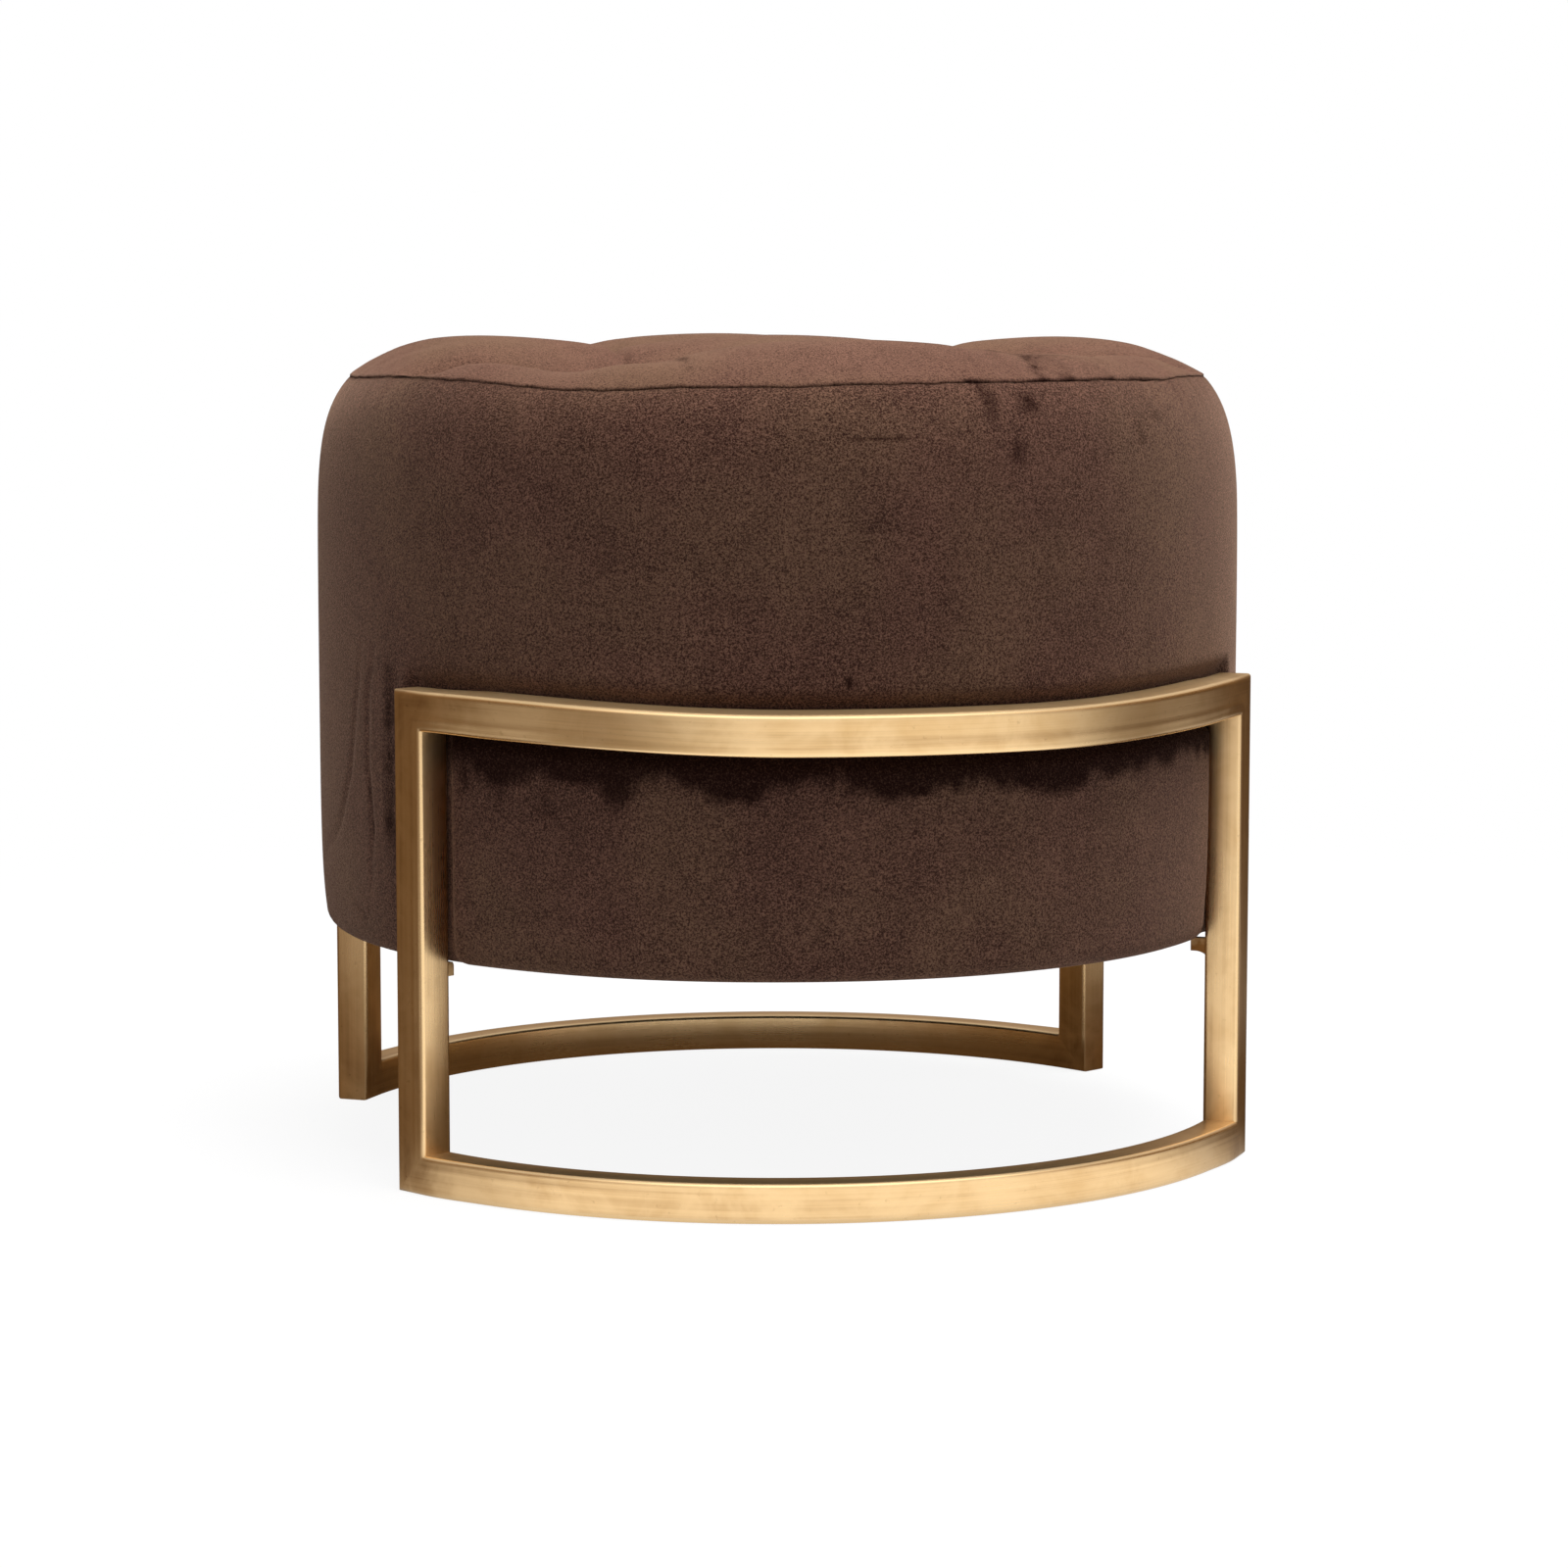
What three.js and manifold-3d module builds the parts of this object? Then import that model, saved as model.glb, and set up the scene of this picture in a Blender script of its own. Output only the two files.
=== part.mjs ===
// A round tufted stool: an upholstered drum held between two bent rectangular tube frames.
// Millimetres, +Z up. The origin is on the floor under the middle of the seat, and -Y is the front.
import * as THREE from 'three';
import { mergeVertices } from 'three/addons/utils/BufferGeometryUtils.js';
import Module from 'manifold-3d';

// Clearances
const fit_gap = 0.3;
const bolt_clearance = 0.5;
const cut_overrun = 10;
const merge_distance = 0.001;

// Upholstered drum, outside
const seat_underside_height = 108;
const seat_side_height = 271;
const seat_radius = 228.5;
const seam_inset = 16;
const shoulder_fade = 16;
const belly_loss = 4;
const belly_fade = 20;
const bottom_round = 9;
const velvet_thickness = 1.2;
const turned_hem = 30;

// Tufted top
const crown_rise = 28.5;
const edge_fade = 26.5;
const tuft_radius = 115;
const tuft_depth = 38;
const tuft_spread = 39;
const tuft_softness = 8;
const pleat_depth = 5;
const pleat_spread = 9;
const valley_depth = 18.5;
const valley_spread = 34;

// Tube frames
const frame_press = 3.5;
const frame_height = 238;
const frame_reach = THREE.MathUtils.degToRad(60);
const tube_depth = 16;
const tube_width = 19;
const tube_wall = 1.5;
const tube_corner = 1.5;
const press_spread = 14;
const press_margin = 2;

// Lugs under the seat
const lug_length = 9.5;
const lug_width = 5;
const lug_nose = 6.5;
const lug_root = 10.5;
const lug_nose_flat = 2;

// Bolts through the drum into the legs
const bolt_radius = 3;
const bolt_above_underside = 27;
const bolt_below_rail = 17;
const bolt_head_radius = 5.8;
const bolt_head_height = 4;
const bolt_point = 1.5;
const washer_radius = 9;
const washer_thickness = 1.6;
const nut_radius = 5.8;
const nut_height = 5;

// Drum, inside
const side_foam_thickness = 10;
const wall_thickness = 3;
const board_thickness = 12;
const foam_under_tuft = 20;
const base_rim_width = 84;
const post_width = 32;
const post_depth = 26;
const dust_cover_thickness = 0.8;
const dust_cover_lap = 15;
const band_base_thickness = 1.2;

// Tuft ties
const tie_radius = 1.2;
const tie_knot_radius = 3.2;
const tie_knot_height = 2;
const tie_toggle_radius = 9;
const tie_toggle_height = 2;

// Counts and shares
const even_sides = 32;
const frame_sides = 72;
const round_sides = 12;
const small_sides = 8;
const hex_sides = 6;
const corner_steps = 1;
const inner_row_shares = [0.26, 0.52, 0.74, 0.9, 1];
const outer_row_shares = [0.12, 0.3, 0.52, 0.72, 0.87, 0.96, 1];
const low_side_shares = [0.2, 0.55];
const shoulder_shares = [0.4, 0.72, 0.87, 0.95];
const round_angle_shares = [0, 0.33, 0.67, 1];

// Heights and radii that follow from the values above
const half_turn = Math.PI;
const quarter_turn = Math.PI / 2;
const seam_height = seat_underside_height + seat_side_height;
const seam_radius = seat_radius - seam_inset;
const frame_facet_share = Math.cos(half_turn / frame_sides);
const frame_inner = seat_radius - frame_press;
const frame_outer = frame_inner + tube_depth;
const tube_centre = frame_inner + tube_depth / 2;
const tube_half = tube_width / 2;
const leg_azimuth = frame_reach - Math.asin(tube_half / frame_outer);
const band_inner = frame_inner * frame_facet_share - fit_gap - band_base_thickness;
const foam_inner = band_inner - fit_gap - side_foam_thickness;
const wall_outer = foam_inner - fit_gap;
const wall_inner = wall_outer - wall_thickness;
const board_radius = wall_inner - fit_gap;
const facet_share = Math.cos(half_turn / even_sides);
const base_board_bottom = seat_underside_height + band_base_thickness + fit_gap;
const base_board_top = base_board_bottom + board_thickness;
const post_reach = board_radius * facet_share - fit_gap;
const post_outer = Math.sqrt(post_reach ** 2 - (post_width / 2) ** 2);
const post_inner = post_outer - post_depth;
const lug_top = seat_underside_height - fit_gap;
const bolt_heights = {
  lower: seat_underside_height + bolt_above_underside,
  upper: frame_height - tube_width - bolt_below_rail,
};
const leg_start = frame_reach - tube_width / frame_outer;
const tuft_azimuths = [-3, -1, 1, 3].map((step) => (step * quarter_turn) / 2);

// Materials
const brass = new THREE.MeshStandardMaterial({ color: 0xb8925a, metalness: 1, roughness: 0.36 });
const velvet = new THREE.MeshStandardMaterial({ color: 0x4b3029, metalness: 0, roughness: 0.95 });
const foam = new THREE.MeshStandardMaterial({ color: 0xe4dcc0, metalness: 0, roughness: 1 });
const plywood = new THREE.MeshStandardMaterial({ color: 0xc9a877, metalness: 0, roughness: 0.75 });
const timber = new THREE.MeshStandardMaterial({ color: 0xd2b184, metalness: 0, roughness: 0.7 });
const zinc_steel = new THREE.MeshStandardMaterial({ color: 0xb4b7ba, metalness: 1, roughness: 0.4 });
const lining = new THREE.MeshStandardMaterial({ color: 0x161616, metalness: 0, roughness: 0.95 });
const twine = new THREE.MeshStandardMaterial({ color: 0x38261f, metalness: 0, roughness: 0.9 });

const wasm = await Module();
wasm.setup();

// Turns a closed three.js geometry into a solid that can be joined and cut.
function toSolid(geometry) {
  const plain = geometry.clone();
  plain.deleteAttribute('normal');
  plain.deleteAttribute('uv');
  const merged = mergeVertices(plain, merge_distance);
  const vertProperties = new Float32Array(merged.attributes.position.array);
  const triVerts = new Uint32Array(merged.index.array);
  return new wasm.Manifold(new wasm.Mesh({ numProp: 3, vertProperties, triVerts }));
}

// Turns a solid back into a geometry.
function toGeometry(solid) {
  const { vertProperties, triVerts } = solid.getMesh();
  const geometry = new THREE.BufferGeometry();
  geometry.setAttribute('position', new THREE.BufferAttribute(vertProperties, 3));
  geometry.setIndex(new THREE.BufferAttribute(triVerts, 1));
  geometry.computeVertexNormals();
  return geometry;
}

// Cuts several geometries out of one.
function cut(geometry, cutters) {
  const whole = toSolid(geometry);
  return toGeometry(cutters.reduce((solid, cutter) => solid.subtract(toSolid(cutter)), whole));
}

function named(name, geometry, material) {
  const mesh = new THREE.Mesh(geometry, material);
  mesh.name = name;
  return mesh;
}

// A small upright rod between two heights.
function rod(radius, low, high) {
  const geometry = new THREE.CylinderGeometry(radius, radius, high - low, small_sides);
  geometry.rotateX(quarter_turn);
  geometry.translate(0, 0, (low + high) / 2);
  return geometry;
}

// A rod that lies along X between two distances from the seat's axis, at one height.
function radialRod(radius, near, far, height, sides) {
  const geometry = new THREE.CylinderGeometry(radius, radius, far - near, sides);
  geometry.rotateZ(-quarter_turn);
  geometry.translate((near + far) / 2, 0, height);
  return geometry;
}

// A closed outline of radius and height points, turned all the way round the seat's axis.
function turned(points, sides) {
  const geometry = new THREE.LatheGeometry(points, sides);
  geometry.rotateX(quarter_turn);
  return geometry;
}

// A rectangle with rounded corners, drawn anticlockwise.
function roundedRectangle(low_x, low_y, high_x, high_y, corner) {
  const shape = new THREE.Shape();
  shape.absarc(high_x - corner, low_y + corner, corner, -quarter_turn, 0);
  shape.absarc(high_x - corner, high_y - corner, corner, 0, quarter_turn);
  shape.absarc(low_x + corner, high_y - corner, corner, quarter_turn, half_turn);
  shape.absarc(low_x + corner, low_y + corner, corner, half_turn, half_turn + quarter_turn);
  return shape;
}

// Azimuths round the seat: even steps, with closer ones beside each leg so that the cloth can bend
// round it. The pattern of the first quarter is mirrored into the other three.
function drumAzimuths() {
  const step = (2 * half_turn) / even_sides;
  const beside_leg = [
    leg_start - (press_margin + press_spread) / frame_inner,
    leg_start - press_margin / frame_inner,
    frame_reach + press_margin / frame_inner,
    frame_reach + (press_margin + press_spread) / frame_inner,
  ];
  const even = [];
  for (let azimuth = 0; azimuth <= quarter_turn + step / 2; azimuth += step) {
    const near_leg = beside_leg.some((other) => Math.abs(other - azimuth) < step / 4);
    if (!near_leg || azimuth === 0) even.push(azimuth);
  }
  const quarter = [...even, ...beside_leg].sort((one, other) => one - other);
  const half = [...quarter, ...quarter.slice(0, -1).reverse().map((azimuth) => half_turn - azimuth)];
  return [...half, ...half.slice(1, -1).map((azimuth) => azimuth + half_turn)];
}

const drum_azimuths = drumAzimuths();

// The two triangles of a four-cornered patch, split along its shorter diagonal. here and next are
// on one side, beside and next_beside on the other.
function patch(here, next, beside, next_beside) {
  const across = next.distanceTo(beside);
  const along = here.distanceTo(next_beside);
  if (across < along + merge_distance) return [here, next, beside, beside, next, next_beside];
  return [here, next, next_beside, here, next_beside, beside];
}

// A closed skin round the seat's axis. pathAt gives the same number of radius and height points
// for every azimuth, clockwise. A path that starts and ends on the axis closes there.
function roundSkin(pathAt) {
  const rows = drum_azimuths.map((azimuth) => pathAt(azimuth).map((point) => {
    const spot = planPoint(point.x, azimuth);
    return new THREE.Vector3(spot.x, spot.y, point.y);
  }));
  const count = rows[0].length;
  const on_axis = pathAt(0)[0].x === 0;
  const spans = on_axis ? count - 1 : count;
  const corners = [];
  rows.forEach((row, side) => {
    const beside_row = rows[(side + 1) % rows.length];
    for (let index = 0; index < spans; index += 1) {
      const [here, next] = [row[index], row[(index + 1) % count]];
      const [beside, next_beside] = [beside_row[index], beside_row[(index + 1) % count]];
      if (on_axis && index === 0) corners.push(beside, next, next_beside);
      else if (on_axis && index === spans - 1) corners.push(here, next, beside);
      else corners.push(...patch(here, next, beside, next_beside));
    }
  });
  const geometry = new THREE.BufferGeometry().setFromPoints(corners);
  const merged = mergeVertices(geometry, merge_distance);
  merged.computeVertexNormals();
  return merged;
}

// The drum's outline: a belly that draws in to the seam above and to the base below.
function sideRadius(height) {
  const shoulder = (seat_radius - seam_radius) * Math.exp((height - seam_height) / shoulder_fade);
  const base = belly_loss * Math.exp((seat_underside_height - height) / belly_fade);
  return seat_radius - shoulder - base;
}

function smooth(share) {
  const held = Math.min(Math.max(share, 0), 1);
  return held * held * (3 - 2 * held);
}

// How far a place on the drum's side is from a block of the frame, along the cloth.
function distanceToBlock(azimuth, height, low_azimuth, high_azimuth, low, high) {
  const along = Math.max(low_azimuth - azimuth, azimuth - high_azimuth, 0) * frame_inner;
  const up = Math.max(low - height, height - high, 0);
  return Math.hypot(along, up);
}

// The share of the frame's full press at a place on the drum's side, 1 under the tubes.
function pressShare(azimuth, height) {
  const turn = Math.abs(Math.atan2(Math.sin(azimuth), Math.cos(azimuth)));
  const from_frame = Math.min(turn, half_turn - turn);
  const rail_bottom = frame_height - tube_width;
  const to_rail = distanceToBlock(from_frame, height, 0, frame_reach, rail_bottom, frame_height);
  const to_leg = distanceToBlock(from_frame, height, leg_start, frame_reach, 0, frame_height);
  return smooth(1 - (Math.min(to_rail, to_leg) - press_margin) / press_spread);
}

// The outside of the band, drawn in where the frames press on it.
function bandRadius(azimuth, height) {
  const free = sideRadius(height);
  const held = Math.min(free, frame_inner * frame_facet_share - fit_gap);
  return free + (held - free) * pressShare(azimuth, height);
}

// Where the band's bottom round meets the flat underside.
function underRoundRadius() {
  return sideRadius(seat_underside_height + bottom_round) - bottom_round;
}

// The inside of the band above its bottom round, which the foam fills.
function bandInside(height) {
  return Math.min(band_inner, sideRadius(height) - velvet_thickness);
}

function distanceToLine(point, start, end) {
  const run = end.clone().sub(start);
  const share = Math.min(Math.max(point.clone().sub(start).dot(run) / run.lengthSq(), 0), 1);
  return point.distanceTo(start.clone().addScaledVector(run, share));
}

function planPoint(radius, azimuth) {
  return new THREE.Vector2(radius * Math.sin(azimuth), -radius * Math.cos(azimuth));
}

// Pleats run from each tuft to its two neighbours and to two places on the seam.
function pleatLines() {
  const lines = [];
  for (const azimuth of tuft_azimuths) {
    const tuft = planPoint(tuft_radius, azimuth);
    lines.push([tuft, planPoint(tuft_radius, azimuth + quarter_turn)]);
    lines.push([tuft, planPoint(seam_radius, azimuth - quarter_turn / 4)]);
    lines.push([tuft, planPoint(seam_radius, azimuth + quarter_turn / 4)]);
  }
  return lines;
}

const pleats = pleatLines();

// Height of the tufted top above the seam.
function topRise(radius, azimuth) {
  const point = planPoint(radius, azimuth);
  let pull = 0;
  for (const tuft_azimuth of tuft_azimuths) {
    const tuft = planPoint(tuft_radius, tuft_azimuth);
    const away = Math.hypot(point.distanceTo(tuft), tuft_softness) - tuft_softness;
    pull += tuft_depth * Math.exp(-away / tuft_spread);
    const to_valley = distanceToLine(point, tuft, planPoint(seam_radius, tuft_azimuth));
    const beyond_tuft = smooth((radius - tuft_radius) / tuft_spread);
    pull += valley_depth * beyond_tuft * Math.exp(-((to_valley / valley_spread) ** 2));
  }
  for (const [start, end] of pleats) {
    pull += pleat_depth * Math.exp(-distanceToLine(point, start, end) / pleat_spread);
  }
  const edge = 1 - Math.exp((radius - seam_radius) / edge_fade);
  return edge * (crown_rise - pull);
}

// Radii of the top's rows, from the middle through the tufts to the seam.
function topRows() {
  const inner = inner_row_shares.map((share) => share * tuft_radius);
  const outer = outer_row_shares.map((share) => tuft_radius + share * (seam_radius - tuft_radius));
  return [0, ...inner, ...outer];
}

const top_rows = topRows();

function topSurface(azimuth, drop) {
  return top_rows.map((radius) => {
    const height = seam_height + velvet_thickness + topRise(radius, azimuth) - drop;
    return new THREE.Vector2(radius, height);
  });
}

// The velvet top: one skin over the whole tufted surface.
function topCover() {
  return roundSkin((azimuth) => {
    const above = topSurface(azimuth, 0);
    const below = topSurface(azimuth, velvet_thickness - fit_gap).reverse();
    return [...above, ...below];
  });
}

// A point just inside the band, for the foam.
function foamPoint(height) {
  return new THREE.Vector2(bandInside(height) - fit_gap, height);
}

// The lowest place of the top, in the middle of a tuft, and the board that lies under it.
const tuft_height = seam_height + velvet_thickness + topRise(tuft_radius, tuft_azimuths[0]);
const top_board_top = tuft_height - foam_under_tuft;
const top_board_bottom = top_board_top - board_thickness;

// Heights that the band's inside and the foam share in the shoulder, from the board to the seam.
const shoulder_heights = shoulder_shares.map((share) => {
  return top_board_top + share * (seam_height - top_board_top);
});

// A quarter round at the foot of the band, from the flat underside up to the upright side. inset is
// how far it lies inside the cloth.
function bottomRound(inset) {
  const radius = bottom_round - inset;
  return round_angle_shares.map((share) => {
    const angle = share * quarter_turn;
    const reach = underRoundRadius() + radius * Math.sin(angle);
    return new THREE.Vector2(reach, seat_underside_height + inset + radius * (1 - Math.cos(angle)));
  });
}

// The same round on the band's inside, which stays behind the wadding.
function insideRound() {
  return bottomRound(band_base_thickness).map((point) => {
    return new THREE.Vector2(Math.min(point.x, band_inner), point.y);
  });
}

// The foam under the tufted top, which also fills the drum's shoulder.
function topFoam(ties) {
  const foot = top_board_top + fit_gap;
  const shoulder = [...shoulder_heights].reverse().map(foamPoint);
  const block = roundSkin((azimuth) => {
    const above = topSurface(azimuth, velvet_thickness + fit_gap);
    above.pop();
    const rim = foamPoint(seam_height - fit_gap);
    return [...above, rim, ...shoulder, foamPoint(foot), new THREE.Vector2(0, foot)];
  });
  return cut(block, ties);
}

// The foam round the drum's wall.
function sideFoam(holes) {
  const foot = insideRound().slice(1).reverse();
  const low = foot[foot.length - 1].y;
  const block = roundSkin(() => [
    new THREE.Vector2(foam_inner, top_board_top),
    foamPoint(top_board_top),
    ...foot.map((point) => new THREE.Vector2(point.x - fit_gap, point.y)),
    new THREE.Vector2(foam_inner, low),
  ]);
  return cut(block, holes);
}

// Heights of the band's rows, from the seam down to the start of the bottom round.
function bandHeights() {
  const above_rail = frame_height + press_margin;
  const below_rail = frame_height - tube_width - press_margin;
  const free_above = above_rail + press_spread;
  const free_below = below_rail - press_spread;
  const round_top = seat_underside_height + bottom_round;
  return [
    seam_height,
    ...[...shoulder_shares].reverse().map((share) => free_above + share * (seam_height - free_above)),
    free_above,
    above_rail,
    below_rail,
    free_below,
    ...[...low_side_shares].reverse().map((share) => round_top + share * (free_below - round_top)),
    round_top,
  ];
}

// The velvet band with its wadding: seamed to the top, and turned under the base.
function velvetBand(holes) {
  const heights = bandHeights();
  const base_top = seat_underside_height + band_base_thickness;
  const round = bottomRound(0).slice(0, -1).reverse();
  const hem_radius = underRoundRadius() - turned_hem;
  const hem = [seat_underside_height, base_top].map((height) => new THREE.Vector2(hem_radius, height));
  const inside = [...shoulder_heights, seam_height].map((height) => {
    return new THREE.Vector2(bandInside(height), height);
  });
  const skin = roundSkin((azimuth) => {
    const outside = heights.map((height) => new THREE.Vector2(bandRadius(azimuth, height), height));
    return [...outside, ...round, ...hem, ...insideRound(), ...inside];
  });
  return cut(skin, holes);
}

// A ring of one wall round the seat's axis.
function drumRing(inner, outer, low, high) {
  return roundSkin(() => [
    new THREE.Vector2(inner, high),
    new THREE.Vector2(outer, high),
    new THREE.Vector2(outer, low),
    new THREE.Vector2(inner, low),
  ]);
}

// A full disc round the seat's axis.
function drumDisc(radius, low, high) {
  return roundSkin(() => [
    new THREE.Vector2(0, high),
    new THREE.Vector2(radius, high),
    new THREE.Vector2(radius, low),
    new THREE.Vector2(0, low),
  ]);
}

// One rail of a frame: a ring of tube, kept between the legs' outer faces and mitred at both ends.
function railGeometry(low) {
  const high = low + tube_width;
  const outside = roundedRectangle(frame_inner, low, frame_outer, high, tube_corner);
  const bore_low = low + tube_wall;
  const bore_high = high - tube_wall;
  const bore = new THREE.Shape();
  bore.moveTo(frame_inner + tube_wall, bore_low);
  bore.lineTo(frame_outer - tube_wall, bore_low);
  bore.lineTo(frame_outer - tube_wall, bore_high);
  bore.lineTo(frame_inner + tube_wall, bore_high);
  const ringOf = (shape) => {
    const points = shape.getPoints(corner_steps);
    return turned([...points, points[0].clone()], frame_sides);
  };
  const ring = toSolid(ringOf(outside)).subtract(toSolid(ringOf(bore)));
  const kept = ring.intersect(toSolid(bowBlock(low, high)));
  const right = toSolid(mitreBlock(1, low, true));
  const left = toSolid(mitreBlock(-1, low, true));
  return toGeometry(kept.subtract(right).subtract(left));
}

// A block over the frame's arc, whose ends lie in the legs' outer faces.
function bowBlock(low, high) {
  const tangent = planPoint(tube_half, leg_azimuth + quarter_turn);
  const near = planPoint(frame_inner - tube_depth / 2, leg_azimuth).add(tangent);
  const far = planPoint(frame_outer + tube_depth / 2, leg_azimuth).add(tangent);
  const front = -frame_outer - cut_overrun;
  const shape = new THREE.Shape();
  shape.moveTo(near.x, near.y);
  shape.lineTo(far.x, far.y);
  shape.lineTo(far.x, front);
  shape.lineTo(-far.x, front);
  shape.lineTo(-far.x, far.y);
  shape.lineTo(-near.x, near.y);
  const depth = high - low + 2 * cut_overrun;
  const geometry = new THREE.ExtrudeGeometry(shape, { depth, bevelEnabled: false });
  geometry.translate(0, 0, low - cut_overrun);
  return geometry;
}

// A wedge that cuts one mitre. It takes the leg's side of the joint from a rail, or the rail's side
// from a leg. side is 1 for the right leg and -1 for the left; low is the rail's lower edge.
function mitreWedge(side, low, takes_leg_side) {
  const is_bottom = low < frame_height / 2;
  const middle = low + tube_half;
  const reach = tube_half + cut_overrun;
  const up = is_bottom ? 1 : -1;
  const leg_up = takes_leg_side ? up : -up;
  const shift = -leg_up * fit_gap * Math.SQRT1_2;
  const shape = new THREE.Shape();
  shape.moveTo(side * reach, middle - up * reach + shift);
  shape.lineTo(-side * reach, middle + up * reach + shift);
  shape.lineTo(leg_up * up * side * reach, middle + leg_up * reach + shift);
  const depth = tube_depth + 2 * cut_overrun;
  const geometry = new THREE.ExtrudeGeometry(shape, { depth, bevelEnabled: false });
  const across = new THREE.Vector3(0, 1, 0);
  const upward = new THREE.Vector3(0, 0, 1);
  const outward = new THREE.Vector3(1, 0, 0);
  geometry.applyMatrix4(new THREE.Matrix4().makeBasis(across, upward, outward));
  geometry.translate(frame_inner - cut_overrun, 0, 0);
  return geometry;
}

// The same wedge, turned to where the leg stands in the frame.
function mitreBlock(side, low, takes_leg_side) {
  const geometry = mitreWedge(side, low, takes_leg_side);
  geometry.rotateZ(side * leg_azimuth - quarter_turn);
  return geometry;
}

// A leg, drawn where the seat's axis is the origin and X runs out through the leg.
function legGeometry(side) {
  const shape = roundedRectangle(frame_inner, -tube_half, frame_outer, tube_half, tube_corner);
  const settings = { depth: frame_height, bevelEnabled: false, curveSegments: corner_steps };
  const bar = new THREE.ExtrudeGeometry(shape, settings);
  const bore_height = frame_height + 2 * cut_overrun;
  const bore = new THREE.BoxGeometry(tube_depth - 2 * tube_wall, tube_width - 2 * tube_wall, bore_height);
  bore.translate(tube_centre, 0, frame_height / 2);
  const wedges = [mitreWedge(side, 0, false), mitreWedge(side, frame_height - tube_width, false)];
  const hole_radius = bolt_radius + bolt_clearance;
  const holes = Object.values(bolt_heights).map((height) => {
    return radialRod(hole_radius, frame_inner - cut_overrun, tube_centre, height, small_sides);
  });
  return cut(bar, [bore, ...wedges, ...holes]);
}

// The lug welded to a leg: flat on top, with a hollow sweep underneath.
function lugGeometry() {
  const root = frame_inner - fit_gap;
  const nose = root - lug_length;
  const shape = new THREE.Shape();
  shape.moveTo(root, lug_top);
  shape.lineTo(nose, lug_top);
  shape.lineTo(nose, lug_top - lug_nose);
  shape.lineTo(nose + lug_nose_flat, lug_top - lug_nose);
  shape.quadraticCurveTo(root - lug_nose_flat, lug_top - lug_nose, root, lug_top - lug_root);
  const settings = { depth: lug_width, bevelEnabled: false, curveSegments: round_sides / 3 };
  const geometry = new THREE.ExtrudeGeometry(shape, settings);
  geometry.rotateX(quarter_turn);
  geometry.translate(0, lug_width / 2, 0);
  return geometry;
}

// A bolt with a six-sided head on the post and its point in the nut inside the leg.
function boltGeometry(height) {
  const seat = post_inner - 2 * fit_gap - washer_thickness;
  const point = frame_inner + tube_wall + fit_gap + nut_height + bolt_point;
  const head = toSolid(radialRod(bolt_head_radius, seat - bolt_head_height, seat, height, hex_sides));
  const shank = toSolid(radialRod(bolt_radius, seat - bolt_head_height / 2, point, height, small_sides));
  return toGeometry(head.add(shank));
}

function washerGeometry(height) {
  const far = post_inner - fit_gap;
  const near = far - washer_thickness;
  const plate = radialRod(washer_radius, near, far, height, round_sides);
  return cut(plate, [boltHole(near, far, height)]);
}

function nutGeometry(height) {
  const near = frame_inner + tube_wall + fit_gap;
  const far = near + nut_height;
  return cut(radialRod(nut_radius, near, far, height, hex_sides), [boltHole(near, far, height)]);
}

// A hole for a bolt between two distances from the seat's axis, along X.
function boltHole(near, far, height) {
  const radius = bolt_radius + bolt_clearance;
  return radialRod(radius, near - cut_overrun, far + cut_overrun, height, small_sides);
}

// The upright post behind a leg, or at the side where no bolt passes.
function postGeometry(has_bolts) {
  const low = base_board_top + fit_gap;
  const high = top_board_bottom - fit_gap;
  const geometry = new THREE.BoxGeometry(post_depth, post_width, high - low);
  geometry.translate(post_inner + post_depth / 2, 0, (low + high) / 2);
  if (!has_bolts) return geometry;
  return cut(geometry, Object.values(bolt_heights).map((height) => boltHole(post_inner, post_outer, height)));
}

// Everything that stands on the line from the seat's axis through one leg.
function legGroup(place, azimuth, side) {
  const group = new THREE.Group();
  group.rotation.z = azimuth - quarter_turn;
  group.add(named(`${place}_leg`, legGeometry(side), brass));
  group.add(named(`${place}_seat_lug`, lugGeometry(), brass));
  group.add(named(`${place}_post`, postGeometry(true), timber));
  for (const [level, height] of Object.entries(bolt_heights)) {
    group.add(named(`${place}_${level}_bolt`, boltGeometry(height), zinc_steel));
    group.add(named(`${place}_${level}_washer`, washerGeometry(height), zinc_steel));
    group.add(named(`${place}_${level}_weld_nut`, nutGeometry(height), zinc_steel));
  }
  return group;
}

// One frame: two rails and two legs. The rear one is the front one turned half round.
function frameGroup(end, turn, left_name, right_name) {
  const group = new THREE.Group();
  group.rotation.z = turn;
  group.add(named(`${end}_top_rail`, railGeometry(frame_height - tube_width), brass));
  group.add(named(`${end}_bottom_rail`, railGeometry(0), brass));
  group.add(legGroup(`${end}_${left_name}`, -leg_azimuth, -1));
  group.add(legGroup(`${end}_${right_name}`, leg_azimuth, 1));
  return group;
}

// Cutters for every bolt's way through the drum's side.
function drumBoltHoles() {
  const azimuths = [leg_azimuth, -leg_azimuth, half_turn - leg_azimuth, half_turn + leg_azimuth];
  return azimuths.flatMap((azimuth) => Object.values(bolt_heights).map((height) => {
    const hole = boltHole(wall_inner, frame_inner, height);
    hole.rotateZ(azimuth - quarter_turn);
    return hole;
  }));
}

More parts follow.
